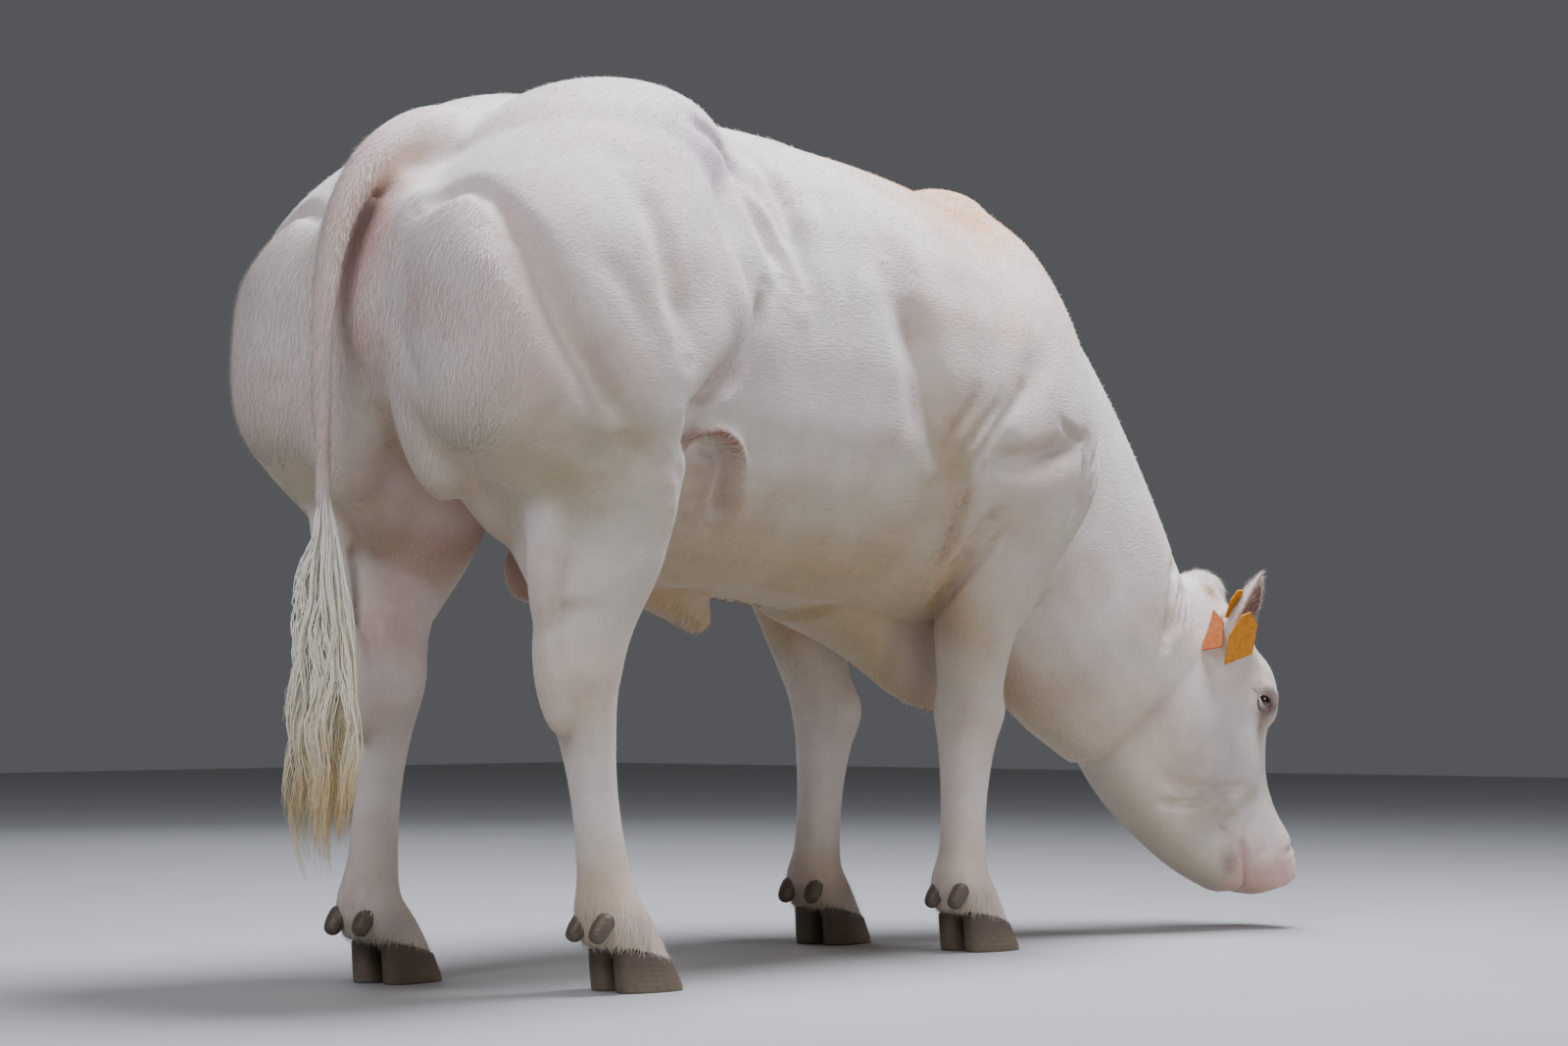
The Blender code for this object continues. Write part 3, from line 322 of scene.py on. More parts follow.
# A closed skin through oval sections. A station is forward, left, up, half width,
# half depth above the line, half depth below it, and squareness (2 is an ellipse).
def loft(mesh, stations, across=(0, 1, 0), frame=None, sides=24, steps=3, cap=0.5, facing=None):
    across = Vector(across)
    count = (len(stations) - 1) * steps
    rows = [smoothStation(stations, k / steps) for k in range(count + 1)]
    places = [Vector(row[:3]) for row in rows]
    rings = []
    for k, row in enumerate(rows):
        ahead = Vector(facing) if facing else (places[min(k + 1, count)] - places[max(k - 1, 0)]).normalized()
        above = ahead.cross(across).normalized()
        beside = above.cross(ahead)
        ends = (-1, 0) if k == 0 else (0, 1) if k == count else (0,)
        for end in ends:
            for lift, shrink in (((0.0, 1.0),) if end == 0 else ((0.6, 0.8), (1.0, 0.35))):
                reach = cap * lift * min(row[3:6]) * end
                ring = []
                for n in range(sides):
                    angle = 2 * math.pi * n / sides
                    c, s = math.cos(angle), math.sin(angle)
                    power = 2 / row[6]
                    width = math.copysign(abs(c) ** power, c) * row[3] * shrink
                    depth = math.copysign(abs(s) ** power, s) * (row[4] if s > 0 else row[5]) * shrink
                    ring.append(places[k] + ahead * reach + beside * width + above * depth)
                rings.append((k + end * lift, ring))
    rings.sort(key=lambda item: item[0])
    corners = []
    for _, ring in rings:
        corners.append([mesh.verts.new(frame @ p if frame else p) for p in ring])
    for low, high in zip(corners, corners[1:]):
        for n in range(sides):
            m = (n + 1) % sides
            mesh.faces.new((low[n], low[m], high[m], high[n]))
    mesh.faces.new(list(reversed(corners[0])))
    mesh.faces.new(corners[-1])


# A muscle belly: an ellipsoid from start to end, wide across the surface and thick along outward.
def spindle(mesh, start, end, wide, thick, outward, frame=None):
    start, end = Vector(start), Vector(end)
    along = (end - start) / 2
    out = Vector(outward)
    out = (out - along * (out.dot(along) / along.length_squared)).normalized()
    beside = along.normalized().cross(out)
    basis = Matrix((along, beside * wide, out * thick)).transposed().to_4x4()
    place = Matrix.Translation((start + end) / 2) @ basis
    bmesh.ops.create_uvsphere(
        mesh, u_segments=20, v_segments=14, radius=1.0, matrix=frame @ place if frame else place
    )


def bothSides(mesh, start, end, wide, thick, outward):
    for side in (-1, 1):
        flip = Vector((1, side, 1))
        spindle(mesh, Vector(start) * flip, Vector(end) * flip, wide, thick, Vector(outward) * flip)


# Barrel, pelvis and chest as one loft from the pin bones to the base of the neck.
def trunk(mesh):
    floor = bull["chestFloor"]
    loft(mesh, [
        (-0.9, 0, 1.18, 0.1, 0.14, 0.18, 2.0),
        (-0.78, 0, 1.14, 0.18, 0.25, 0.28, 2.2),
        (-0.58, 0, 1.1, 0.27, 0.36, 0.34, 2.3),
        (-0.36, 0, 1.07, 0.31, bull["rumpHeight"] - 1.1, 0.42, 2.3),
        (-0.1, 0, 1.04, 0.335, 0.425, 1.0 - floor, 2.25),
        (0.12, 0, 1.03, bull["barrelHalfWidth"] - 0.01, 0.4, 1.01 - floor, 2.2),
        (0.32, 0, 1.03, bull["barrelHalfWidth"] - 0.035, 0.38, 1.03 - floor, 2.15),
        (0.52, 0, 1.03, 0.26, bull["withersHeight"] - 1.06, 0.46, 2.1),
        (0.66, 0, 0.99, 0.19, 0.34, 0.46, 2.0),
        (0.76, -0.01, 0.92, 0.13, 0.22, 0.34, 2.0),
    ])


def backMuscles(mesh):
    bothSides(mesh, (-0.55, 0.1, 1.38), (0.55, 0.09, 1.33), 0.1, 0.085, (0, 0.4, 1))
    bothSides(mesh, (0.3, 0.05, 1.36), (0.8, 0.04, 1.26), 0.075, 0.09, (0, 0.5, 1))


# The whole upper hind limb as one mass, in level sections from the hip down into the gaskin.
def thigh(mesh, side):
    loft(mesh, [
        (-0.56, side * 0.13, 1.4, 0.1, 0.16, 0.15, 2.1),
        (-0.58, side * 0.15, 1.36, 0.14, 0.19, 0.21, 2.1),
        (-0.6, side * 0.155, 1.317, 0.165, 0.21, 0.25, 2.15),
        (-0.61, side * 0.165, 1.27, 0.185, 0.22, 0.29, 2.15),
        (-0.63, side * 0.18, 1.2, 0.2, 0.23, 0.33, 2.2),
        (-0.64, side * 0.19, 1.12, 0.208, 0.235, 0.358, 2.15),
        (-0.64, side * 0.198, 1.04, 0.208, 0.24, 0.362, 2.15),
        (-0.64, side * 0.202, 0.95, 0.204, 0.155, 0.36, 2.15),
        (-0.64, side * 0.21, 0.87, 0.18, 0.055, 0.325, 2.2),
        (-0.63, side * 0.215, 0.8, 0.156, 0.045, 0.25, 2.2),
        (-0.63, side * 0.205, 0.74, 0.148, 0.06, 0.18, 2.1),
        (-0.65, side * 0.212, 0.68, 0.115, 0.085, 0.13, 2.1),
        (-0.67, side * 0.225, 0.62, 0.08, 0.09, 0.1, 2.1),
    ], sides=36, steps=2, cap=0.6, facing=(0, 0, -1))


def rumpMuscles(mesh):
    bothSides(mesh, (-0.24, 0.12, 1.385), (-0.82, 0.12, 1.29), 0.165, 0.15, (0.1, 0.3, 1))
    bothSides(mesh, (-0.52, 0.24, 1.27), (-0.5, 0.28, 0.95), 0.125, 0.115, (0.5, 1, 0))
    bothSides(mesh, (-0.54, 0.19, 1.37), (-0.3, 0.2, 1.365), 0.07, 0.06, (0, 0.6, 1))
    bothSides(mesh, (-0.9, 0.085, 1.27), (-0.875, 0.11, 0.76), 0.085, 0.085, (-1, 0, 0))
    bothSides(mesh, (-0.87, 0.115, 0.98), (-0.74, 0.15, 0.7), 0.07, 0.07, (-1, 0, 0))
    spindle(mesh, (-0.44, 0, 1.415), (-0.9, 0, 1.33), 0.065, 0.05, (0, 0, 1))


def flankFolds(mesh):
    bothSides(mesh, (-0.5, 0.215, 0.92), (-0.1, 0.24, 0.82), 0.1, 0.032, (0, 1, 0.1))


# Shoulder blade, shoulder point and upper arm as one mass, in level sections down into the forearm.
def upperArm(mesh, side):
    loft(mesh, [
        (0.47, side * 0.06, 1.39, 0.07, 0.12, 0.13, 2.1),
        (0.46, side * 0.11, 1.33, 0.105, 0.16, 0.18, 2.1),
        (0.44, side * 0.15, 1.24, 0.135, 0.2, 0.23, 2.2),
        (0.42, side * 0.185, 1.14, 0.148, 0.24, 0.28, 2.2),
        (0.42, side * 0.205, 1.03, 0.152, 0.265, 0.27, 2.2),
        (0.43, side * 0.212, 0.93, 0.15, 0.27, 0.24, 2.2),
        (0.44, side * 0.212, 0.85, 0.138, 0.255, 0.2, 2.2),
        (0.45, side * 0.205, 0.78, 0.118, 0.2, 0.17, 2.1),
        (0.45, side * 0.185, 0.7, 0.096, 0.155, 0.145, 2.1),
        (0.45, side * 0.165, 0.62, 0.08, 0.115, 0.11, 2.1),
    ], sides=32, steps=2, cap=0.6, facing=(0, 0, -1))


def shoulderMuscles(mesh):
    bothSides(mesh, (0.56, 0.13, 1.28), (0.62, 0.22, 0.92), 0.1, 0.09, (0.5, 1, 0.1))
    bothSides(mesh, (0.26, 0.21, 1.16), (0.44, 0.27, 0.82), 0.14, 0.1, (-0.2, 1, 0))
    bothSides(mesh, (0.62, 0.17, 1.02), (0.64, 0.2, 0.82), 0.1, 0.1, (0.6, 1, 0))
    bothSides(mesh, (0.36, 0.11, 0.7), (0.74, 0.09, 0.72), 0.12, 0.1, (0, 0.4, -1))


def brisket(mesh):
    loft(mesh, [
        (0.12, 0, 0.66, 0.12, 0.08, 0.06, 2.0),
        (0.3, 0, 0.62, 0.075, 0.1, 0.09, 2.0),
        (0.46, 0, 0.58, 0.052, 0.12, 0.13, 2.0),
        (0.62, 0, 0.58, 0.048, 0.14, 0.14, 2.0),
        (0.76, -0.01, 0.6, 0.05, 0.14, 0.13, 2.0),
        (0.86, -0.04, 0.54, 0.045, 0.12, 0.11, 2.0),
    ])


def sheath(mesh):
    loft(mesh, [
        (-0.42, 0, 0.7, 0.06, 0.05, 0.05, 2.0),
        (-0.28, 0, 0.66, 0.055, 0.06, 0.045, 2.0),
        (-0.19, 0, 0.62, 0.045, 0.05, 0.035, 2.0),
        (-0.155, 0, 0.59, 0.028, 0.03, 0.022, 2.0),
    ])


def neck(mesh):
    loft(mesh, [
        (0.46, 0, 1.1, 0.16, 0.28, 0.36, 2.1),
        (0.62, 0, 1.05, 0.18, 0.28, 0.38, 2.1),
        (0.75, -0.02, 0.94, 0.18, 0.255, 0.37, 2.1),
        (0.87, -0.06, 0.79, 0.165, 0.215, 0.34, 2.1),
        (0.97, -0.1, 0.65, 0.15, 0.165, 0.33, 2.2),
        (1.07, -0.14, 0.53, 0.125, 0.11, 0.29, 2.2),
    ], across=(0.2, 1, 0), sides=28)
    spindle(mesh, (0.6, 0, 1.33), (1.03, -0.1, 0.9), 0.075, 0.045, (1, 0, 1))


def hindLeg(mesh, stifle, hock, fetlock):
    top, bend, ankle = Vector(stifle), Vector(hock), Vector(fetlock)
    loft(mesh, [
        (*top, 0.1, 0.075, 0.14, 2.1),
        (*top.lerp(bend, 0.45), 0.086, 0.092, 0.102, 2.1),
        (*bend.lerp(top, 0.24), 0.062, 0.073, 0.081, 2.1),
        (*bend, 0.066, 0.066, 0.068, 2.3),
        (*bend.lerp(ankle, 0.22), 0.05, 0.05, 0.05, 2.2),
        (*bend.lerp(ankle, 0.5), 0.038, 0.04, 0.044, 2.2),
        (*ankle.lerp(bend, 0.18), 0.043, 0.042, 0.05, 2.2),
        (*ankle, 0.06, 0.052, 0.058, 2.3),
        (*(ankle + Vector((0.032, 0, -0.055))), 0.06, 0.06, 0.052, 2.4),
        (*(ankle + Vector((0.05, 0, -0.1))), 0.065, 0.068, 0.052, 2.4),
    ])
    # The point of the hock and the tendon above it
    point = bend + Vector((-0.084, 0, 0.072))
    tendon, heel = top + Vector((-0.2, 0, 0.02)), bend + Vector((-0.045, 0, -0.1))
    spindle(mesh, tendon, point + Vector((0, 0, -0.03)), 0.034, 0.03, (-1, 0, 0))
    spindle(mesh, point + Vector((0, 0, 0.035)), heel, 0.034, 0.028, (-1, 0, 0))


def foreLeg(mesh, elbow, knee, fetlock):
    top, bend, ankle = Vector(elbow), Vector(knee), Vector(fetlock)
    loft(mesh, [
        (*(top + Vector((0.06, 0, 0.06))), 0.1, 0.15, 0.17, 2.1),
        (*(top.lerp(bend, 0.25) + Vector((0.02, 0, 0))), 0.092, 0.135, 0.125, 2.1),
        (*top.lerp(bend, 0.6), 0.074, 0.088, 0.08, 2.1),
        (*bend.lerp(top, 0.14), 0.064, 0.064, 0.062, 2.2),
        (*bend, 0.069, 0.066, 0.056, 2.6),
        (*bend.lerp(ankle, 0.2), 0.054, 0.052, 0.056, 2.3),
        (*bend.lerp(ankle, 0.5), 0.044, 0.042, 0.052, 2.2),
        (*ankle.lerp(bend, 0.18), 0.045, 0.044, 0.05, 2.2),
        (*ankle, 0.06, 0.052, 0.058, 2.3),
        (*(ankle + Vector((0.026, 0, -0.055))), 0.06, 0.06, 0.052, 2.4),
        (*(ankle + Vector((0.042, 0, -0.1))), 0.065, 0.068, 0.052, 2.4),
    ])


# Forehead, face and muzzle, then the lower jaw, in the head's own frame.
def skull(mesh):
    loft(mesh, [
        (0.01, 0, -0.1, 0.09, 0.08, 0.09, 2.3),
        (0.08, 0, -0.1, 0.115, 0.1, 0.12, 2.5),
        (0.16, 0, -0.1, 0.124, 0.118, 0.13, 2.9),
        (0.25, 0, -0.1, 0.116, 0.126, 0.13, 3.0),
        (0.335, 0, -0.11, 0.098, 0.098, 0.12, 2.7),
        (0.42, 0, -0.12, 0.087, 0.082, 0.1, 2.5),
        (0.5, 0, -0.12, 0.088, 0.078, 0.085, 2.5),
        (0.57, 0, -0.115, 0.097, 0.084, 0.075, 2.6),
        (0.622, 0, -0.118, 0.088, 0.066, 0.062, 2.6),
    ], frame=headFrame, sides=28)
    loft(mesh, [
        (0.04, 0, -0.27, 0.098, 0.09, 0.14, 2.6),
        (0.2, 0, -0.29, 0.108, 0.09, 0.138, 2.8),
        (0.32, 0, -0.275, 0.1, 0.09, 0.125, 2.8),
        (0.44, 0, -0.245, 0.086, 0.07, 0.095, 2.6),
        (0.53, 0, -0.21, 0.074, 0.045, 0.07, 2.4),
        (0.595, 0, -0.188, 0.06, 0.03, 0.04, 2.3),
    ], frame=headFrame)
    for side in (-1, 1):
        spindle(mesh, (0.02, side * 0.082, -0.21), (0.42, side * 0.072, -0.21), 0.13, 0.046, (0, side, 0),
                headFrame)
        # The brow above the eye and the cheek ridge below it
        brow = Vector((0.165, side * 0.086, -0.012)), Vector((0.325, side * 0.084, -0.03))
        spindle(mesh, *brow, 0.05, 0.034, (0, side, 0.7), headFrame)
        cheek = Vector((0.24, side * 0.096, -0.085)), Vector((0.46, side * 0.076, -0.13))
        spindle(mesh, *cheek, 0.036, 0.024, (0, side, 0.1), headFrame)
    # The dome of the poll
    spindle(mesh, (0.03, -0.06, -0.03), (0.03, 0.06, -0.03), 0.055, 0.05, (-1, 0, 0.5), headFrame)


# How far the muscles are smoothed into each other: fully on the trunk, not on legs and head.
def heaviness(place):
    low = min(max((place.z - 0.66) / 0.14, 0.0), 1.0)
    ahead = min(max((1.02 - place.x) / 0.12, 0.0), 1.0)
    return low * ahead


def freshMaterial(name):
    made = bpy.data.materials.new(name)
    made.use_nodes = True
    return made, made.node_tree, made.node_tree.nodes["Principled BSDF"]


def addNode(tree, kind, settings=None, links=None):
    # one node, with its settings (properties or socket values) and what feeds its sockets
    made = tree.nodes.new(kind)
    for key, value in (settings or {}).items():
        if isinstance(key, int) or key in made.inputs:
            made.inputs[key].default_value = value
        else:
            setattr(made, key, value)
    for key, source in (links or {}).items():
        tree.links.new(source, made.inputs[key])
    return made


def shaded(tree, shader, values, links):
    # plain numbers and links for the sockets of a shader
    for key, value in values.items():
        shader.inputs[key].default_value = value
    for key, source in links.items():
        tree.links.new(source, shader.inputs[key])


def opaque(colour):
    # a colour for a socket or a stop that takes alpha too
    return (*straight(colour), 1)


hideLook = {
    "blotch": 16.0,                  # 60 mm blotches where the skin shows more or less through the hair
    # hair lines drawn out along the body, or down the legs and the face: 2 to 4 mm apart, so that they show
    "hairAlong": (45, 500, 260),
    "hairDown": (420, 420, 55),
    "lean": (0, 0.45, 0),
    "hairDepth": 0.0016,
}


def hideMaterial():
    # short-haired hide: matt, a soft sheen at the rims, fine hair lines along the lie of the coat
    hide, tree, shader = freshMaterial("ShortHairedHide")
    where = addNode(tree, "ShaderNodeTexCoord").outputs["Object"]
    # the tint holds the hide's colours with their painted shade and painted highlights
    tint = addNode(tree, "ShaderNodeAttribute", {"attribute_name": "tint"}).outputs["Color"]
    limb = addNode(tree, "ShaderNodeAttribute", {"attribute_name": "limb"}).outputs["Fac"]
    blotch = addNode(tree, "ShaderNodeTexNoise", {"Scale": hideLook["blotch"], "Detail": 4.0, "Roughness": 0.6},
                     {"Vector": where})
    ramp = addNode(tree, "ShaderNodeMapRange", {"From Min": 0.35, "From Max": 0.65, "To Min": 0.94,
                                                "To Max": 1.05}, {"Value": blotch.outputs["Fac"]})
    mixed = addNode(tree, "ShaderNodeVectorMath", {"operation": "SCALE"}, {0: tint, "Scale": ramp.outputs[0]})
    hairs = []
    for scale, lean in ((hideLook["hairAlong"], hideLook["lean"]), (hideLook["hairDown"], (0, 0, 0))):
        lie = addNode(tree, "ShaderNodeMapping", {"Scale": scale, "Rotation": lean}, {"Vector": where})
        lines = addNode(tree, "ShaderNodeTexNoise", {"Scale": 1.0, "Detail": 2.0}, {"Vector": lie.outputs[0]})
        hairs.append(lines.outputs["Fac"])
    hair = addNode(tree, "ShaderNodeMix", {}, {0: limb, 2: hairs[0], 3: hairs[1]})
    bump = addNode(tree, "ShaderNodeBump", {"Strength": 0.8, "Distance": hideLook["hairDepth"]},
                   {"Height": hair.outputs[0]})
    shaded(tree, shader,
           {"Roughness": 0.72, "Sheen Weight": 0.35, "Sheen Roughness": 0.55, "Specular IOR Level": 0.25},
           {"Base Color": mixed.outputs[0], "Normal": bump.outputs[0]})
    return hide


def paint(made, name, values):
    # a value or a linear colour for each point of a mesh
    data = made.data
    if values.ndim == 1:
        layer = data.attributes.new(name, "FLOAT", "POINT")
        layer.data.foreach_set("value", values.astype(np.float32))
    else:
        layer = data.attributes.new(name, "FLOAT_COLOR", "POINT")
        full = np.ones((len(values), 4), np.float32)
        full[:, :3] = values
        layer.data.foreach_set("color", full.ravel())


def mixStainShadeHighlight(colours, colour, share):
    # mixes a colour in by a share for each point: real colours and stains, and painted shade and painted
    # highlights alike
    share = np.clip(share, 0, 1)[:, None]
    return colours * (1 - share) + np.array(straight(colour)) * share


skinSettings = {
    "voxel": 0.0065,
    "softening": 14,       # rounds of smoothing on everything
    "merging": 44,         # more rounds where the trunk's muscles run into each other
    "coatDepth": 0.003,    # how far the skin lies inside the solids
    "triangles": 188000,
}

# Grooves between the muscles of the right side, each with its depth and width; the left side mirrors them
grooves = [
    # Between the ham and the thigh
    ([(-0.93, -0.24, 1.24), (-0.91, -0.344, 1.1), (-0.861, -0.382, 1.0), (-0.79, -0.39, 0.9),
      (-0.74, -0.37, 0.82)], 0.022, 0.036),
    # Behind the front bulge of the thigh, and under it
    ([(-0.58, -0.34, 1.18), (-0.61, -0.39, 1.05), (-0.63, -0.41, 0.96)], 0.012, 0.045),
    ([(-0.64, -0.41, 0.91), (-0.53, -0.38, 0.92), (-0.42, -0.32, 0.95)], 0.016, 0.045),
    # In front of the hip and the thigh
    ([(-0.36, -0.14, 1.43), (-0.31, -0.25, 1.35), (-0.26, -0.28, 1.25), (-0.25, -0.29, 1.1)], 0.018, 0.055),
    # Down the back of the ham
    ([(-1.0, -0.12, 1.12), (-1.01, -0.15, 0.98)], 0.008, 0.03),
    # Behind the shoulder
    ([(-0.02, -0.3, 1.22), (0.036, -0.35, 1.07), (0.059, -0.35, 0.96), (0.094, -0.33, 0.85)], 0.03, 0.05),
    # Across the shoulder above the elbow, and down from the shoulder blade
    ([(0.25, -0.34, 0.89), (0.36, -0.36, 0.885), (0.46, -0.36, 0.92), (0.53, -0.35, 0.93)], 0.014, 0.028),
    ([(0.42, -0.32, 1.13), (0.37, -0.35, 1.05), (0.3, -0.35, 0.95)], 0.012, 0.034),
    # Between the shoulder and the neck
    ([(0.72, -0.2, 1.12), (0.74, -0.24, 0.98), (0.66, -0.28, 0.86)], 0.022, 0.04),
    # Along the spine behind the withers
    ([(0.3, 0, 1.45), (0.05, 0, 1.47), (-0.2, 0, 1.5)], 0.01, 0.03),
]
# Finer folds and seams of the right side, each with its depth and width; the left side mirrors them
folds = [
    # the ham against the thigh, and the dimple down the ham
    ([(-0.93, -0.11, 1.217), (-0.905, -0.191, 1.258), (-0.902, -0.252, 1.214), (-0.889, -0.323, 1.126),
      (-0.852, -0.35, 1.016), (-0.786, -0.37, 0.923), (-0.744, -0.382, 0.872)], 0.015, 0.018),
    ([(-0.955, -0.065, 1.071), (-0.976, -0.12, 1.007), (-0.987, -0.172, 0.927)], 0.008, 0.02),
    ([(-0.824, -0.363, 1.152), (-0.764, -0.389, 1.096), (-0.7, -0.4, 1.0)], 0.005, 0.022),
    # behind the front bulge of the thigh, the crease in front of and under it, the hollow behind the stifle
    ([(-0.697, -0.327, 1.293), (-0.68, -0.374, 1.206), (-0.661, -0.398, 1.091), (-0.624, -0.392, 1.003)],
     0.014, 0.03),
    ([(-0.335, -0.3, 1.14), (-0.355, -0.309, 1.08), (-0.376, -0.305, 1.03), (-0.41, -0.292, 0.98),
      (-0.465, -0.287, 0.952), (-0.55, -0.345, 0.935), (-0.609, -0.372, 0.92)], 0.018, 0.014),
    ([(-0.41, -0.33, 1.2), (-0.42, -0.34, 1.11), (-0.47, -0.365, 1.03)], -0.016, 0.05),
    ([(-0.87, -0.34, 0.86), (-0.8, -0.366, 0.843), (-0.73, -0.372, 0.84),
      (-0.648, -0.397, 0.84)], 0.014, 0.028),
    # the flap of skin between stifle and flank: its rolled edge and the hollow behind it
    ([(-0.5, -0.27, 0.872), (-0.464, -0.269, 0.893), (-0.425, -0.279, 0.903), (-0.388, -0.283, 0.892),
      (-0.368, -0.28, 0.87), (-0.356, -0.273, 0.839)], -0.013, 0.01),
    ([(-0.475, -0.262, 0.868), (-0.44, -0.272, 0.876), (-0.405, -0.278, 0.87), (-0.39, -0.275, 0.84),
      (-0.38, -0.255, 0.79), (-0.37, -0.225, 0.745)], 0.02, 0.016),
    ([(-0.345, -0.27, 0.84), (-0.335, -0.25, 0.79), (-0.326, -0.226, 0.745)], -0.008, 0.016),
    ([(-0.454, -0.235, 0.804), (-0.43, -0.23, 0.76)], 0.016, 0.03),
    # kneecap and the hollow above it
    ([(-0.632, -0.373, 0.835), (-0.6, -0.35, 0.8)], 0.008, 0.016),
    ([(-0.632, -0.36, 0.785), (-0.615, -0.34, 0.745)], -0.01, 0.026),
    # the hip
    ([(-0.479, -0.256, 1.413), (-0.4, -0.24, 1.39), (-0.326, -0.219, 1.362), (-0.314, -0.273, 1.259),
      (-0.285, -0.3, 1.17)], 0.015, 0.018),
    ([(-0.28, -0.15, 1.42), (-0.24, -0.235, 1.345), (-0.225, -0.283, 1.243), (-0.225, -0.305, 1.142)],
     0.009, 0.016),
    ([(-0.36, -0.2, 1.39), (-0.285, -0.26, 1.27), (-0.255, -0.292, 1.18)], -0.007, 0.016),
    ([(-0.15, -0.2, 1.38), (-0.14, -0.29, 1.26), (-0.15, -0.33, 1.13)], 0.005, 0.02),
    # the shoulder: rear edge, the short crease, its lower edge, the front of the arm
    ([(0.03, -0.316, 1.132), (0.047, -0.323, 1.09), (0.081, -0.333, 1.007), (0.098, -0.328, 0.936),
      (0.116, -0.306, 0.861)], 0.014, 0.02),
    ([(0.439, -0.359, 0.974), (0.473, -0.355, 0.954), (0.538, -0.341, 0.943)], 0.009, 0.009),
    ([(0.296, -0.322, 0.892), (0.368, -0.346, 0.909), (0.534, -0.339, 0.936)], 0.008, 0.015),
    ([(0.539, -0.34, 0.92), (0.529, -0.342, 0.852), (0.534, -0.321, 0.797)], 0.012, 0.012),
    ([(0.193, -0.354, 1.005), (0.135, -0.343, 0.933), (0.127, -0.322, 0.882)], 0.007, 0.012),
    ([(0.285, -0.341, 1.004), (0.204, -0.346, 0.937), (0.169, -0.339, 0.892)], 0.007, 0.012),
    ([(0.36, -0.34, 1.04), (0.28, -0.35, 0.955), (0.22, -0.335, 0.885)], 0.006, 0.012),
    # folds of the neck beside the shoulder
    ([(0.7, -0.25, 1.06), (0.66, -0.3, 0.96), (0.58, -0.33, 0.86)], 0.011, 0.011),
    ([(0.66, -0.29, 1.03), (0.62, -0.32, 0.95), (0.56, -0.342, 0.888)], 0.009, 0.009),
    # folds behind the elbow
    ([(0.32, -0.295, 0.81), (0.309, -0.288, 0.784), (0.281, -0.245, 0.717),
      (0.28, -0.172, 0.654)], 0.01, 0.009),
    ([(0.302, -0.273, 0.762), (0.29, -0.227, 0.7), (0.34, -0.128, 0.624)], 0.009, 0.008),
    ([(0.306, -0.259, 0.736), (0.309, -0.206, 0.666), (0.417, -0.075, 0.599)], 0.008, 0.008),
    ([(0.33, -0.3, 0.8), (0.3, -0.25, 0.74), (0.3, -0.2, 0.69)], 0.009, 0.008),
    ([(0.34, -0.3, 0.76), (0.315, -0.24, 0.7), (0.33, -0.17, 0.65)], 0.009, 0.008),
    ([(0.195, -0.312, 0.84), (0.213, -0.313, 0.815), (0.231, -0.282, 0.767), (0.217, -0.227, 0.698)],
     0.01, 0.009),
]
# Folds of the right side of the neck and jowl only, because the head turns
neckFolds = [
    ([(1.02, -0.2, 0.735), (0.995, -0.242, 0.71), (0.975, -0.249, 0.645),
      (0.956, -0.245, 0.574)], 0.02, 0.011),
    ([(1.025, -0.238, 0.693), (0.993, -0.251, 0.646), (0.981, -0.252, 0.597)], 0.007, 0.006),
    ([(1.05, -0.228, 0.69), (1.01, -0.252, 0.648), (0.995, -0.252, 0.6)], 0.006, 0.005),
    ([(1.072, -0.224, 0.687), (1.034, -0.25, 0.646), (1.016, -0.254, 0.607)], 0.006, 0.005),
    ([(0.994, -0.207, 0.257), (1.071, -0.24, 0.262), (1.193, -0.271, 0.291)], 0.013, 0.009),
    ([(1.02, -0.22, 0.275), (1.09, -0.25, 0.282), (1.16, -0.265, 0.296)], 0.005, 0.006),
]
# Lines of the head in its own frame, each with its depth and width
headLines = [
    # brow and lower lid
    ([(0.22, 0.118, -0.05), (0.24, 0.122, -0.026), (0.268, 0.12, -0.024), (0.298, 0.112, -0.04)],
     -0.01, 0.011),
    ([(0.232, 0.118, -0.06), (0.252, 0.12, -0.076), (0.272, 0.119, -0.074), (0.292, 0.116, -0.062)],
     -0.005, 0.01),
    # tear groove, hollow of the temple, crest of the cheek, hollow above the lips
    ([(0.292, 0.112, -0.052), (0.33, 0.1, -0.062), (0.385, 0.09, -0.072)], 0.01, 0.012),
    ([(0.16, 0.11, -0.07), (0.215, 0.118, -0.055)], 0.008, 0.018),
    ([(0.32, 0.11, -0.118), (0.4, 0.098, -0.122), (0.455, 0.09, -0.128)], -0.007, 0.018),
    ([(0.42, 0.085, -0.1), (0.47, 0.085, -0.17), (0.44, 0.085, -0.26)], 0.013, 0.024),
    ([(0.545, 0.07, -0.12), (0.555, 0.075, -0.17)], 0.005, 0.012),
    ([(0.565, 0.05, -0.03), (0.575, 0.075, -0.06), (0.572, 0.088, -0.1)], 0.006, 0.009),
    ([(0.59, 0.07, -0.066), (0.625, 0.072, -0.09), (0.622, 0.06, -0.118)], -0.009, 0.014),
    # edge of the cheek muscle
    ([(0.3, 0.11, -0.34), (0.36, 0.105, -0.28), (0.385, 0.1, -0.2)], 0.01, 0.016),
]


def bullMasses():
    mesh = bmesh.new()
    for part in (trunk, backMuscles, rumpMuscles, flankFolds, shoulderMuscles, brisket, sheath, neck, skull):
        part(mesh)
    for side in (-1, 1):
        thigh(mesh, side)
        upperArm(mesh, side)
    for leg in hindLegs:
        hindLeg(mesh, **leg)
    for leg in foreLegs:
        foreLeg(mesh, **leg)
    loft(mesh, tailLine, sides=16, steps=3, cap=0.3)
    loft(mesh, scrotumLine, sides=18, steps=2, cap=0.5)
    return mesh


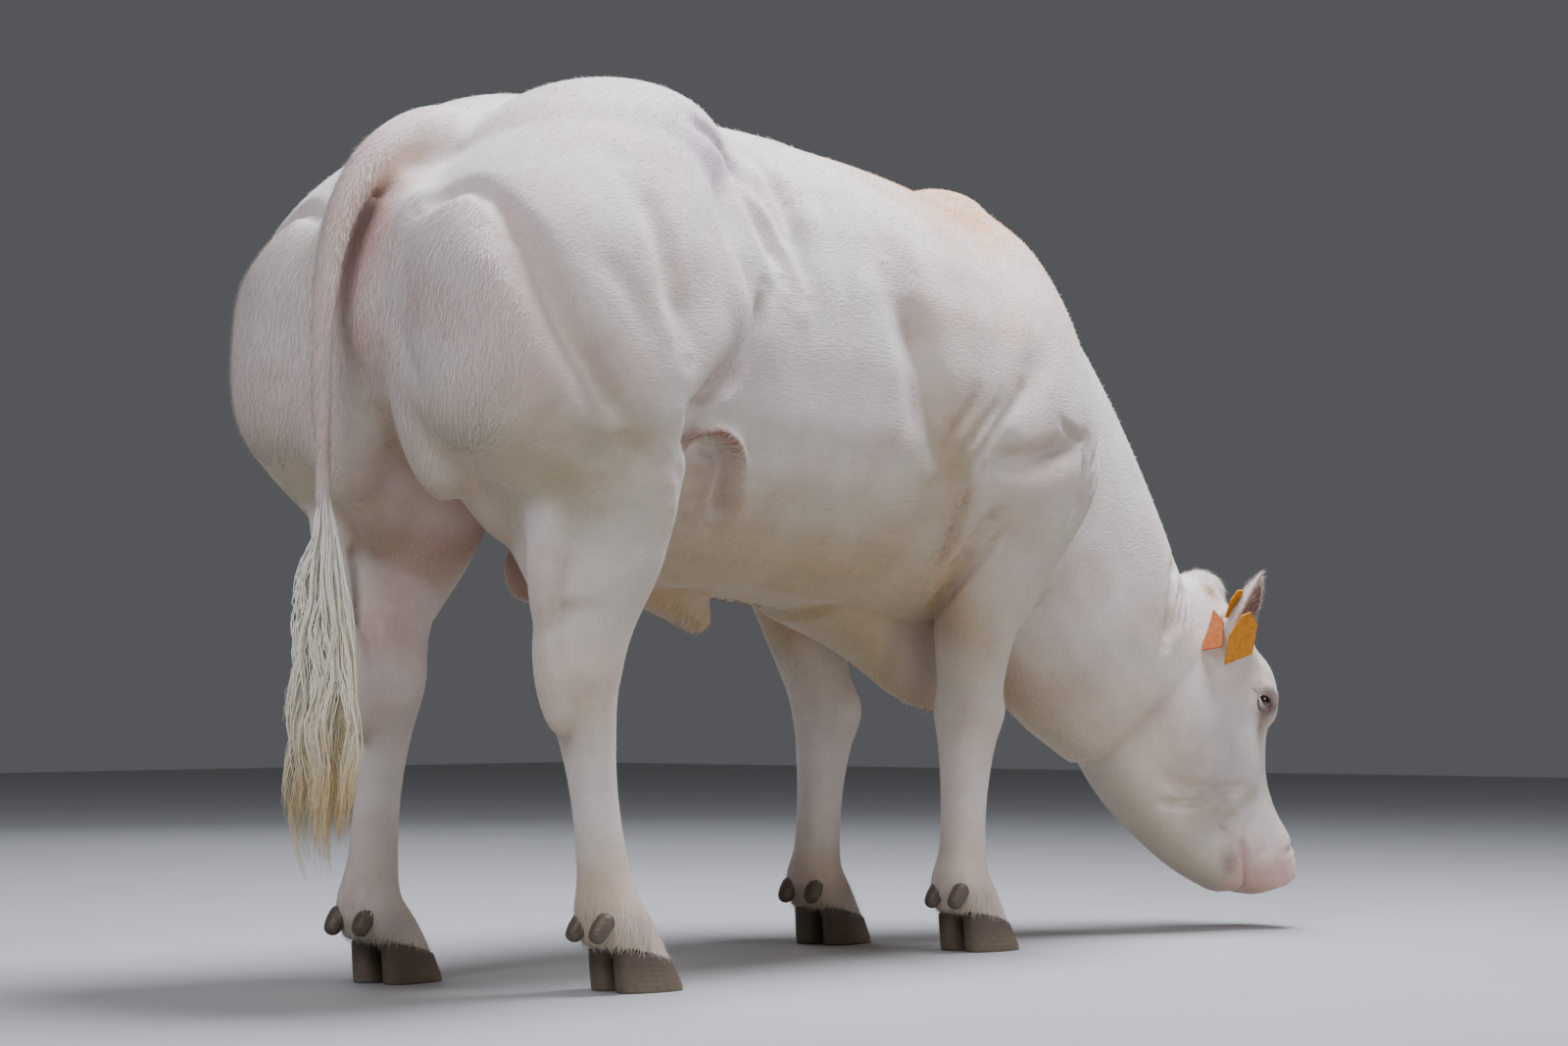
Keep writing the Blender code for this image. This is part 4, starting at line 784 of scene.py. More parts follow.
def earAxes(side):
    # the way the ear points and the way its cup opens, in the head's own frame
    ahead = Vector((-0.748, side * 0.521, 0.41)).normalized()
    opening = Vector((0.635, side * 0.741, 0.217))
    opening = (opening - ahead * opening.dot(ahead)).normalized()
    return ahead, opening


def earSkin(side):
    # a cupped leaf that grows from a round root
    start = headFrame @ Matrix.Translation(Vector(onSide(earShape["root"], side)))
    ahead, opening = earAxes(side)
    beside = ahead.cross(opening)
    mesh = bmesh.new()
    rings = []
    half, count = earShape["across"], earShape["along"]
    for k in range(count):
        t = k / (count - 1)
        leaf = math.sin(math.pi * (0.18 + 0.74 * t)) ** 0.7 * math.sqrt(1 - t**6)
        width = max(earShape["halfWidth"] * leaf, 0.006) - 0.002
        curl = blend(2.6, 1.15, min(t * 2.2, 1.0))
        wall = blend(*earShape["wall"], t)
        radius = width / math.sin(min(curl, math.pi / 2))
        place = ahead * (earShape["length"] * t) + opening * (radius * (1 + math.cos(curl)) / 2)
        inner = radius - wall if t > 0.14 else radius * 0.1
        ring = []
        for way, reach in ((1, radius), (-0.95, inner)):
            for n in range(half):
                a = blend(-curl, curl, n / (half - 1)) * way
                ring.append(place + beside * math.sin(a) * reach - opening * (math.cos(a) * reach))
        rings.append([mesh.verts.new(start @ p) for p in ring])
    around = 2 * half
    for lower, upper in zip(rings, rings[1:]):
        for n in range(around):
            m = (n + 1) % around
            mesh.faces.new((lower[n], lower[m], upper[m], upper[n]))
    for ring in (rings[0], rings[-1]):
        for n in range(half - 1):
            mesh.faces.new((ring[n], ring[n + 1], ring[around - 2 - n], ring[around - 1 - n]))
    bmesh.ops.recalc_face_normals(mesh, faces=list(mesh.faces))
    return pieceFrom("earForm", mesh)


def softened(made, weights, rounds):
    # smooths only where the weights say
    group = made.vertex_groups.new(name="soft")
    for index in np.nonzero(weights > 0.01)[0]:
        group.add([int(index)], float(weights[index]), "REPLACE")
    smooth = made.modifiers.new("soft", "SMOOTH")
    smooth.iterations = rounds
    smooth.vertex_group = "soft"
    settled(made)
    made.vertex_groups.clear()


def headPlaces(made):
    # the points in the head's own frame: along the face, to the left, up from the face
    back = np.array(headFrame.inverted())
    return readVerts(made.data) @ back[:3, :3].T + back[:3, 3]


def fromHead(made, local):
    out = np.array(headFrame)
    writeVerts(made.data, local @ out[:3, :3].T + out[:3, 3])


def earReach(local, side):
    # the step of each place from the ear's root, and how far that lies along the ear
    step = local - onSide(earShape["root"], side)
    return step, step @ np.array(earAxes(side)[0])


eyeLids = {
    "halfLong": 0.02,
    "halfHigh": 0.0078,
    "lid": 0.0026,               # thickness of the lids over the eyeball
    "fold": 0.0022,              # height of the rim and depth of the fold round it
    "slant": (0.84, -0.2, 0.42),
}


def openEyes(made):
    # the skin draws back inside the eyeball within the slit and stands up round it as two lids
    local = headPlaces(made)
    for side in (-1, 1):
        middle = onSide(eyeball["place"], side)
        out = onSide(eyeball["out"], side)
        out /= np.linalg.norm(out)
        along = onSide(eyeLids["slant"], side)
        along -= out * (along @ out)
        along /= np.linalg.norm(along)
        step = local - middle
        reach = lengths(step)
        a, b, h = step @ along, step @ np.cross(out, along), step @ out
        near = (reach < 0.06) & (h > 0)
        lens = eyeLids["halfHigh"] * np.clip(1 - (a / (eyeLids["halfLong"] * 1.05)) ** 2, 0.06, 1)
        q = np.sqrt((a / eyeLids["halfLong"]) ** 2 * 0.3 + (b / lens) ** 2)
        q = np.maximum(q, np.abs(a) / eyeLids["halfLong"])
        target = np.where(q < 0.95, eyeball["radius"] - 0.005, eyeball["radius"] + eyeLids["lid"])
        outer = ramped(q, 1.15, 2.6)
        wanted = target * (1 - outer) + reach * outer
        wanted += eyeLids["fold"] * (bell((q - 1.45) / 0.28) - bell((q - 2.15) / 0.3))
        step[near] *= (wanted[near] / np.maximum(reach[near], 1e-6))[:, None]
        local[near] = middle + step[near]
    fromHead(made, local)


muzzle = {
    "mouthDepth": 0.007,
    "mouthWidth": 0.0045,
    "lip": 0.0022,               # how far the lips stand out beside the line of the mouth
    "nostril": (0.632, 0.05, -0.088),
    "nostrilDepth": 0.024,
    "nostrilRim": 0.0035,
}


def openMuzzle(made):
    # the line of the mouth all round the muzzle, and two comma-shaped nostrils
    local = headPlaces(made)
    normals = readVerts(made.data, "normal") @ headAxes
    s, y, z = local.T
    slant = (z + 0.186) + (s - 0.585) * 0.1228
    front = ramped(s, 0.495, 0.525)
    groove = muzzle["mouthDepth"] * bell(slant / muzzle["mouthWidth"]) * front
    lip = -muzzle["lip"] * bell((np.abs(slant) - 0.013) / 0.007) * front
    local -= normals * (groove + lip)[:, None]
    for side in (-1, 1):
        turn = math.radians(35) * side
        step = local - onSide(muzzle["nostril"], side)
        a = step[:, 1] * math.cos(turn) + step[:, 0] * math.sin(turn) * 0.5
        b = step[:, 2] + 6.0 * a**2
        q = np.sqrt((a / 0.019) ** 2 + (b / 0.0095) ** 2)
        near = lengths(step) < 0.05
        hollow = muzzle["nostrilDepth"] * np.exp(-((q / 0.9) ** 4))
        depth = hollow - muzzle["nostrilRim"] * bell((q - 1.55) / 0.4)
        local[near] += onSide((-0.8, -0.45, -0.05), side) * depth[near][:, None]
    fromHead(made, local)


def flatFeet(made):
    # the skin of each foot ends level with the top of the claws
    places = readVerts(made.data)
    up = np.array((0.22, 0, 1)) / math.hypot(0.22, 1)
    for leg in (*hindLegs, *foreLegs):
        ankle = np.array(leg["fetlock"])
        below = (places - ankle * (1, 1, 0) - (0.05, 0, 0.06)) @ up
        near = (lengths((places - ankle)[:, :2] - (0.03, 0)) < 0.16) & (below < 0) & (places[:, 2] < 0.13)
        places[near] -= up * below[near][:, None]
    writeVerts(made.data, places)


def makeSkin():
    skin = fused(pieceFrom("skin", bullMasses()), skinSettings["voxel"], skinSettings["softening"])
    softened(skin, np.array([heaviness(v.co) for v in skin.data.vertices]), skinSettings["merging"])
    print("skin fused,", len(skin.data.vertices), "points")
    pressed(skin, mirrored(grooves + folds) + neckFolds)
    places, normals = readVerts(skin.data), readVerts(skin.data, "normal")
    writeVerts(skin.data, places - normals * skinSettings["coatDepth"])
    finer(skin, headFrame @ Vector((0.32, 0, -0.14)), 0.4)
    for side in (-1, 1):
        finer(skin, headFrame @ Vector(onSide(eyeball["place"], side)), 0.05)
    finer(skin, headFrame @ Vector((0.62, 0, -0.13)), 0.13)
    softened(skin, (lengths(headPlaces(skin) - (0.32, 0, -0.14)) < 0.42) * 1.0, 4)
    pressed(skin, onHead(headLines))
    for side in (-1, 1):
        ear = earSkin(side)
        earPlaces.extend(Vector(place) for place in readVerts(ear.data))
        join = skin.modifiers.new("ear", "BOOLEAN")
        join.operation = "UNION"
        join.solver = "MANIFOLD"
        join.object = ear
        settled(skin)
        bpy.data.objects.remove(ear, do_unlink=True)
    print("ears joined")
    local = headPlaces(skin)
    root = np.zeros(len(local))
    for side in (-1, 1):
        step, along = earReach(local, side)
        root = np.maximum(root, ramped(lengths(step), 0.085, 0.05) * ramped(along, 0.055, 0.025))
    softened(skin, root, 8)
    openEyes(skin)
    openMuzzle(skin)
    flatFeet(skin)
    print("eyes, muzzle and feet shaped,", len(skin.data.vertices), "points")
    skin.data.calc_loop_triangles()
    thin = skin.modifiers.new("thin", "DECIMATE")
    thin.ratio = min(1.0, skinSettings["triangles"] / len(skin.data.loop_triangles))
    settled(skin)
    print("skin thinned to", len(skin.data.polygons), "faces")
    return skin


def onEars(places):
    # 1 on the ears, 0 elsewhere
    tree = treeOf(earPlaces)
    middle = np.array(headFrame @ Vector((0.08, 0, -0.08)))
    found = np.zeros(len(places))
    for index in np.nonzero(lengths(places - middle) < 0.34)[0]:
        found[index] = 1.0 if tree.find(places[index])[2] < 0.009 else 0.0
    return found


earPlaces = []
skin = makeSkin()
skin.data.transform(Matrix.Translation(moved))
smoothShaded(skin)
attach(skin, "root")


# Patches of colour on the right side: middle, radii, colour and strength; the left side mirrors them
patches = [
    ((-0.45, -0.24, 1.36), (0.22, 0.2, 0.12), "#D3BBCB", 0.75),  # lilac over the hip
    ((-0.62, -0.38, 1.1), (0.1, 0.1, 0.22), "#DDBFB4", 0.35),
    ((-0.88, -0.27, 1.03), (0.12, 0.14, 0.17), "#D6B6A6", 0.6),  # warmer ham
    ((-0.78, -0.33, 0.84), (0.16, 0.12, 0.08), "#9A8450", 0.62),  # below the ham: partly stain, partly painted shade
    ((-0.93, 0.0, 1.22), (0.08, 0.045, 0.16), "#CF8C80", 0.75),  # bare skin under the tail
    ((-0.4, -0.36, 1.07), (0.12, 0.12, 0.14), "#DCCAD2", 0.4),
    ((0.42, -0.1, 1.36), (0.3, 0.25, 0.16), "#DCA67C", 0.8),  # warm withers
    ((0.3, -0.36, 1.15), (0.16, 0.12, 0.12), "#DDB294", 0.5),
    ((0.45, -0.36, 0.92), (0.14, 0.1, 0.06), "#CFAFA4", 0.4),
    ((0.14, -0.3, 0.88), (0.12, 0.12, 0.18), "#A98C5E", 0.62),  # behind the elbow: partly stain, partly painted shade
    ((-0.25, 0.0, 0.6), (0.34, 0.2, 0.1), "#A97F48", 0.8),  # belly and sheath: partly stain, partly painted shade
    # under the chest and belly: partly stain, partly painted shade
    ((0.1, -0.12, 0.62), (0.45, 0.2, 0.14), "#A08250", 0.75),
    ((-0.3, -0.18, 0.76), (0.18, 0.1, 0.09), "#9C8258", 0.6),  # shaded flank
    ((0.6, 0.0, 0.46), (0.3, 0.1, 0.12), "#B18A5E", 0.6),  # brisket: partly stain, partly painted shade
    ((-0.56, 0.0, 0.7), (0.1, 0.085, 0.13), "#7C4534", 0.92),  # scrotum
    ((-0.6, -0.06, 0.84), (0.24, 0.1, 0.16), "#A66B54", 0.6),  # inside of the thighs: partly stain, partly painted shade
    # inside of the hind legs lower down: partly stain, partly painted shade
    ((-0.76, 0.1, 0.58), (0.1, 0.06, 0.16), "#B88470", 0.45),
    ((-0.71, -0.25, 0.5), (0.08, 0.08, 0.09), "#BF9257", 0.45),  # hocks
    ((-0.66, -0.22, 0.12), (0.12, 0.12, 0.12), "#C9A870", 0.45),  # pasterns
    ((0.4, -0.15, 0.12), (0.14, 0.12, 0.12), "#C4A878", 0.4),
    ((0.44, -0.16, 0.44), (0.08, 0.08, 0.07), "#CDB8A4", 0.4),
    ((0.95, -0.24, 0.6), (0.08, 0.08, 0.16), "#D5BBA8", 0.45),
    ((0.8, -0.18, 0.45), (0.16, 0.1, 0.12), "#C2A283", 0.45),
]
# Lines of colour on both sides: along folds and edges; the darker ones in creases and hollows are painted shade
streaks = [
    ([(-0.5, -0.27, 0.872), (-0.464, -0.269, 0.89), (-0.425, -0.279, 0.9), (-0.388, -0.283, 0.889),
      (-0.368, -0.28, 0.868)], 0.012, "#9C5634", 0.85),
    # painted shade in the hollow behind the flap
    ([(-0.475, -0.262, 0.862), (-0.4, -0.272, 0.85), (-0.38, -0.25, 0.79)], 0.034, "#74563A", 0.72),
    ([(-0.356, -0.273, 0.839), (-0.341, -0.254, 0.792), (-0.326, -0.226, 0.745)], 0.026, "#B08462", 0.5),
    # painted shade in the crease under the front bulge of the thigh
    ([(-0.44, -0.27, 0.96), (-0.55, -0.345, 0.935), (-0.609, -0.372, 0.92)], 0.012, "#B4968A", 0.55),
    # painted shade in the folds behind the elbow
    ([(0.205, -0.313, 0.8), (0.231, -0.282, 0.745), (0.225, -0.227, 0.68)], 0.026, "#A97650", 0.6),
    ([(0.3, -0.27, 0.74), (0.285, -0.21, 0.67), (0.3, -0.17, 0.6)], 0.035, "#C09668", 0.55),
    ([(0.309, -0.288, 0.784), (0.272, -0.251, 0.724), (0.277, -0.181, 0.659)], 0.012, "#BE8E72", 0.55),
    # painted shade in the short crease of the shoulder
    ([(0.439, -0.359, 0.974), (0.473, -0.355, 0.954), (0.538, -0.341, 0.943)], 0.01, "#9A948C", 0.4),
    ([(-0.87, 0, 1.35), (-1.005, 0, 1.2), (-1.034, 0, 0.94), (-1.028, 0, 0.74)], 0.04, "#D9B9A8", 0.45),
    # painted shade in the crease between neck and head
    ([(1.02, -0.2, 0.735), (0.995, -0.242, 0.71), (0.975, -0.249, 0.645), (0.956, -0.245, 0.574)],
     0.01, "#B9A28F", 0.45),
]
# Colours of the head in its own frame: middle, radii, colour and strength, on both sides
headPatches = [
    ((0.6, 0.03, -0.11), (0.055, 0.1, 0.075), "#D9A49A", 0.85),  # bare muzzle
    ((0.56, 0.03, -0.2), (0.08, 0.09, 0.04), "#CF9F90", 0.6),  # lips
    ((0.632, 0.05, -0.088), (0.02, 0.02, 0.014), "#5E2E28", 0.9),  # nostril
    ((0.268, 0.118, -0.046), (0.034, 0.03, 0.023), "#643F38", 0.92),  # dark rim of the lids, and painted shade round the eye
    ((0.246, 0.114, -0.026), (0.034, 0.03, 0.016), "#9A7A68", 0.55),  # painted shadow of the brow above the eye
    ((0.31, 0.106, -0.058), (0.042, 0.03, 0.013), "#765748", 0.7),  # tear track
    ((0.012, 0.082, -0.065), (0.017, 0.03, 0.019), "#A3763C", 0.9),  # disbudded spot
    ((0.538, 0.072, -0.222), (0.03, 0.03, 0.024), "#6E5040", 0.6),  # painted shade in the corner of the mouth
    # painted shade on the cheek and the lower jaw
    ((0.34, 0.11, -0.19), (0.12, 0.06, 0.09), "#C3AFB2", 0.6),
    ((0.3, 0.11, -0.3), (0.16, 0.06, 0.08), "#C0A78A", 0.5),
    ((0.44, 0.07, -0.24), (0.08, 0.06, 0.07), "#A9967E", 0.5),
]


def fuzz(places, scale, seed=0.0):
    # smooth noise from 0 to 1 at each place, one blotch about scale metres across
    return np.array([noise.noise(Vector(p) / scale + Vector((seed, seed, seed))) for p in places]) * 0.5 + 0.5


def inHead(places):
    return (places - np.array(headFrame.translation)) @ headAxes


def markSkin(made):
    # the bull's colours, with the shade and highlights painted into them, as smooth functions of the place on
    # the body and of which way it faces
    places = readVerts(made.data) - np.array(moved)
    normals = readVerts(made.data, "normal")
    coarse, fine = fuzz(places, 0.11), fuzz(places, 0.022, 7.3)
    # white hair, pink skin showing through it, and an underside darkened to ochre where it faces down, partly
    # stain and partly painted shade
    colours = np.tile(np.array(straight("#E9DED6")), (len(places), 1))
    colours = mixStainShadeHighlight(colours, "#DDC2BA", 0.5 * ramped(coarse, 0.42, 0.72))
    colours = mixStainShadeHighlight(colours, "#A08A5C", 0.72 * ramped(-normals[:, 2], -0.05, 0.85))
    for side in (1, -1):
        for middle, radii, colour, share in patches:
            if side < 0 and middle[1] == 0:
                continue
            step = (places - onSide(middle, side)) / radii
            strength = share * np.exp(-(step**2).sum(axis=1))
            colours = mixStainShadeHighlight(colours, colour, strength * (0.55 + 0.9 * coarse))
        marks = [(onSide(line, side), *rest) for line, *rest in streaks]
        for line, width, colour, share in laidOn(places, marks):
            colours = mixStainShadeHighlight(colours, colour, share * besideLine(places, line, width) * (0.6 + 0.8 * fine))
    local = inHead(places)
    ears = onEars(places)
    for side in (-1, 1):
        for middle, radii, colour, share in headPatches:
            step = (local - onSide(middle, side)) / radii
            strength = share * np.exp(-((step**2).sum(axis=1) ** 1.5))
            colours = mixStainShadeHighlight(colours, colour, strength * (0.7 + 0.6 * fine))
        along = earReach(local, side)[1]
        facing = (normals @ headAxes) @ np.array(earAxes(side)[1])
        within = ramped(along, 0.035, 0.06) * ramped(along, 0.175, 0.15) * ears * (local[:, 1] * side > 0)
        inside = within * ramped(facing, 0.1, 0.5)
        colours = mixStainShadeHighlight(colours, "#8A4630", 0.85 * inside * (0.7 + 0.5 * fine))      # bare inside of the ear
    # painted highlight: the faces turned upwards made paler in speckles
    pale = 0.25 * ramped(fine, 0.5, 0.8) * ramped(normals[:, 2], -0.3, 0.6)
    paint(made, "tint", mixStainShadeHighlight(colours, "#F0EAE4", pale))
    limb = np.maximum(ramped(places[:, 2], 0.74, 0.6), ramped(places[:, 0], 0.98, 1.1))
    paint(made, "limb", np.maximum(limb, ramped(places[:, 0], -0.9, -0.98)))


skin.data.materials.clear()
markSkin(skin)
skin.data.materials.append(hideMaterial())
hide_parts("ear_right", "ear_left", "torso", "hindquarters", "neck", "head", "tail_dock", "tail_shaft",
            "scrotum", *[part + side for part in ("hind_shank_", "hind_cannon_", "forearm_", "fore_cannon_")
                         for side in ("right", "left")])
print("skin marked and covered")


def eyeMaterial():
    # wet cornea over a dark brown iris with a level slot of a pupil
    glass, tree, shader = freshMaterial("WetEye")
    ring = addNode(tree, "ShaderNodeAttribute", {"attribute_name": "ring"}).outputs["Fac"]
    ramp = addNode(tree, "ShaderNodeValToRGB", {}, {"Fac": ring})
    stops = ramp.color_ramp.elements
    stops[0].position, stops[0].color = 0.3, opaque("#050404")      # pupil
    stops[1].position, stops[1].color = 0.42, opaque("#2A160C")      # iris
    for place, colour in ((0.78, "#3A2114"), (0.88, "#120A07"), (0.97, "#4A3428")):
        stops.new(place).color = opaque(colour)
    shaded(tree, shader, {"Roughness": 0.06, "Coat Weight": 1.0, "Coat Roughness": 0.03},
           {"Base Color": ramp.outputs["Color"]})
    return glass


def makeEyes():
    glass = eyeMaterial()
    for side, name in ((-1, "right"), (1, "left")):
        mesh = bmesh.new()
        bmesh.ops.create_uvsphere(mesh, u_segments=48, v_segments=32, radius=eyeball["radius"])
        out = Vector(onSide(eyeball["out"], side)).normalized()
        slant = Vector(onSide(eyeLids["slant"], side))
        along = (slant - out * slant.dot(out)).normalized()
        up = out.cross(along)
        rings = []
        for vert in mesh.verts:
            p = vert.co / eyeball["radius"]
            # the iris is a disc 30 mm across, its pupil longer than high
            a, b, h = p.dot(along), p.dot(up), p.dot(out)
            pupil = math.hypot(a / 0.46, b / 0.2) * 0.3
            iris = min(0.42 + math.hypot(a, b) * 0.55, 0.96) if h > 0 else 1.0
            rings.append(pupil if pupil < 0.42 else iris)
            if h > 0:
                vert.co *= 1 + 0.035 * max(0.0, 1 - (a * a + b * b) / 0.5)      # the cornea bulges
        mesh.transform(headFrame @ Matrix.Translation(Vector(onSide(eyeball["place"], side))))
        mesh.transform(Matrix.Translation(moved))
        ball = smoothShaded(pieceFrom("eyeball" + name.capitalize(), mesh))
        paint(ball, "ring", np.array(rings))
        ball.data.materials.append(glass)
        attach(ball, "root")
        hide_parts("eye_" + name)


def nodeCopy(node, name):
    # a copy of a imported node, with its loose triangles merged
    data = nodes[node].data.copy()
    data.transform(nodes[node].matrix_world)
    data.materials.clear()
    mesh = bmesh.new()
    mesh.from_mesh(data)
    bmesh.ops.remove_doubles(mesh, verts=list(mesh.verts), dist=1e-5)
    mesh.to_mesh(data)
    mesh.free()
    return placed(name, data)


hoofLook = {"voxel": 0.0022, "softening": 10, "horn": "#5E5044", "scuffed": "#A8967C", "scuffHeight": 0.045}


def hoofMaterial():
    # horn: dark slate brown, growth rings 4 mm apart, scuffed paler towards the ground
    horn, tree, shader = freshMaterial("HoofHorn")
    where = addNode(tree, "ShaderNodeTexCoord").outputs["Object"]
    apart = addNode(tree, "ShaderNodeSeparateXYZ", {}, {"Vector": where})
    rings = addNode(tree, "ShaderNodeTexWave", {"bands_direction": "Z", "Scale": 38.0, "Distortion": 3.0,
                                                "Detail": 3.0}, {"Vector": where})
    scuff = addNode(tree, "ShaderNodeTexNoise", {"Scale": 90.0, "Detail": 6.0, "Roughness": 0.7},
                    {"Vector": where})
    low = addNode(tree, "ShaderNodeMapRange", {"From Min": hoofLook["scuffHeight"], "From Max": 0.0,
                                               "To Min": 0.15, "To Max": 0.75}, {"Value": apart.outputs["Z"]})
    share = addNode(tree, "ShaderNodeMath", {"operation": "MULTIPLY"},
                    {0: low.outputs[0], 1: scuff.outputs["Fac"]})
    tone = addNode(tree, "ShaderNodeMix", {"data_type": "RGBA", 6: opaque(hoofLook["horn"]),
                                           7: opaque(hoofLook["scuffed"])}, {0: share.outputs[0]})
    height = addNode(tree, "ShaderNodeMath", {"operation": "MULTIPLY_ADD", 1: 0.6},
                     {0: rings.outputs["Fac"], 2: scuff.outputs["Fac"]})
    bump = addNode(tree, "ShaderNodeBump", {"Strength": 0.5, "Distance": 0.001}, {"Height": height.outputs[0]})
    shaded(tree, shader, {"Roughness": 0.5}, {"Base Color": tone.outputs[2], "Normal": bump.outputs[0]})
    return horn


def makeHooves():
    horn = hoofMaterial()
    for kind in ("claw", "dewclaw"):
        found = [name for name in nodes if name.startswith(kind + "_")]
        mesh = bmesh.new()
        for name in found:
            copy = nodeCopy(name, "copy")
            mesh.from_mesh(copy.data)
            bpy.data.objects.remove(copy, do_unlink=True)
        hooves = smoothShaded(fused(pieceFrom(kind + "s", mesh), hoofLook["voxel"], hoofLook["softening"]))
        hooves.data.materials.append(horn)
        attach(hooves, "root")
        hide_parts(*found)


def tagMaterial(name, colour, worn):
    # moulded soft plastic: even colour, fine grain, dirt in blotches and paler rubbed spots
    plastic, tree, shader = freshMaterial(name)
    where = addNode(tree, "ShaderNodeTexCoord").outputs["Object"]
    dirt = addNode(tree, "ShaderNodeTexNoise", {"Scale": 110.0, "Detail": 6.0, "Roughness": 0.65},
                   {"Vector": where}).outputs["Fac"]
    share = addNode(tree, "ShaderNodeMapRange", {"From Min": 0.45, "From Max": 0.75}, {"Value": dirt})
    tone = addNode(tree, "ShaderNodeMix", {"data_type": "RGBA", 6: opaque(colour), 7: opaque(worn)},
                   {0: share.outputs[0]})
    bump = addNode(tree, "ShaderNodeBump", {"Strength": 0.25, "Distance": 0.0005}, {"Height": dirt})
    shaded(tree, shader, {"Roughness": 0.55, "Specular IOR Level": 0.3},
           {"Base Color": tone.outputs[2], "Normal": bump.outputs[0]})
    return plastic


tagLook = {
    "orange": ("MouldedOrangePlastic", "#AE5B26", "#7C4220"),
    "yellow": ("MouldedYellowPlastic", "#DE8E04", "#A86604"),
    "edge": 0.0009,      # radius of the rounded edges
    "tags": {"tag_back": "orange", "tag_front": "yellow", "tag_stud": "yellow"},
}


def makeTags():
    plastics = {kind: tagMaterial(*tagLook[kind]) for kind in ("orange", "yellow")}
    for node, kind in tagLook["tags"].items():
        tag = nodeCopy(node, node + "_moulded")
        edge = tag.modifiers.new("edge", "BEVEL")
        edge.width = tagLook["edge"]
        edge.segments = 3
        edge.limit_method = "ANGLE"
        edge.angle_limit = math.radians(40)
        settled(tag)
        tag.data.materials.append(plastics[kind])
        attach(tag, "root")
        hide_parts(node)


makeEyes()
makeHooves()
makeTags()
print("eyes, hooves and tags done")


# Each piece of the coat: tufts to the square metre, their length and width in metres, how far they stand off
coatPieces = {
    "coatTrunk": {"Density": 9000.0, "Length": 0.011, "Width": 0.0011, "Lift": 0.1, "Seed": 3},
    "coatHind": {"Density": 11000.0, "Length": 0.01, "Width": 0.001, "Lift": 0.12, "Seed": 5},
    "coatFore": {"Density": 11000.0, "Length": 0.01, "Width": 0.001, "Lift": 0.12, "Seed": 7},
    "coatHead": {"Density": 30000.0, "Length": 0.009, "Width": 0.0008, "Lift": 0.14, "Seed": 11},
    "coatEars": {"Density": 160000.0, "Length": 0.017, "Width": 0.0009, "Lift": 0.4, "Seed": 13},
    "coatTail": {"Density": 90000.0, "Length": 0.013, "Width": 0.0009, "Lift": 0.28, "Seed": 17},
    "coatFolds": {"Density": 60000.0, "Length": 0.016, "Width": 0.001, "Lift": 0.22, "Seed": 19},
}
bakePatch = 0.003      # width of a tuft on the bake map

# Where longer hair breaks the form: sheath, belly, dewlap, flank and elbow folds
furEdges = [
    ([(-0.3, 0, 0.6), (-0.142, 0, 0.571)], 0.03, 1.0),
    ([(-0.14, 0, 0.6), (0.12, 0, 0.6)], 0.03, 0.25),
    ([(0.445, 0, 0.436), (0.62, 0, 0.44), (0.78, 0, 0.456)], 0.03, 0.5),
    ([(-0.5, -0.27, 0.872), (-0.425, -0.279, 0.9), (-0.368, -0.28, 0.868)], 0.016, 0.8),
    ([(0.211, -0.314, 0.824), (0.215, -0.283, 0.766), (0.231, -0.227, 0.698)], 0.02, 0.8),
    ([(0.262, -0.18, 0.62), (0.3, -0.17, 0.5)], 0.025, 0.5),
]


def unwrapSkin(made):
    bpy.context.view_layer.objects.active = made
    for other in bpy.context.selected_objects:
        other.select_set(False)
    made.select_set(True)
    bpy.ops.object.mode_set(mode="EDIT")
    bpy.ops.mesh.select_all(action="SELECT")
    bpy.ops.uv.smart_project(angle_limit=math.radians(66), island_margin=0.002)
    bpy.ops.object.mode_set(mode="OBJECT")
    made.data.uv_layers[0].name = "OFBake"


def lieOfCoat(places, normals):
    # which way the hair points: back and down the trunk, down limbs and tail, out along face and ears
    x, y, z = places.T
    local, ears = inHead(places), onEars(places)
    lie = np.zeros_like(places) + np.array((-0.9, 0, -0.42))
    turns = [(ramped(z, 0.86, 0.66), (-0.15, 0, -1.0)), (ramped(x, -0.88, -0.98), (-0.25, 0, -1.0)),
             (ramped(x, 1.0, 1.1), headAxes[:, 0])]
    for side in (-1, 1):
        ear = ramped(earReach(local, side)[1], 0.02, 0.05) * ears * (local[:, 1] * side > 0)
        turns.append((ear, headAxes @ np.array(earAxes(side)[0])))
    for share, way in turns:
        lie = lie * (1 - share[:, None]) + np.array(way) * share[:, None]
    lie -= normals * (lie * normals).sum(axis=1)[:, None]
    return lie / np.maximum(lengths(lie), 1e-6)[:, None]


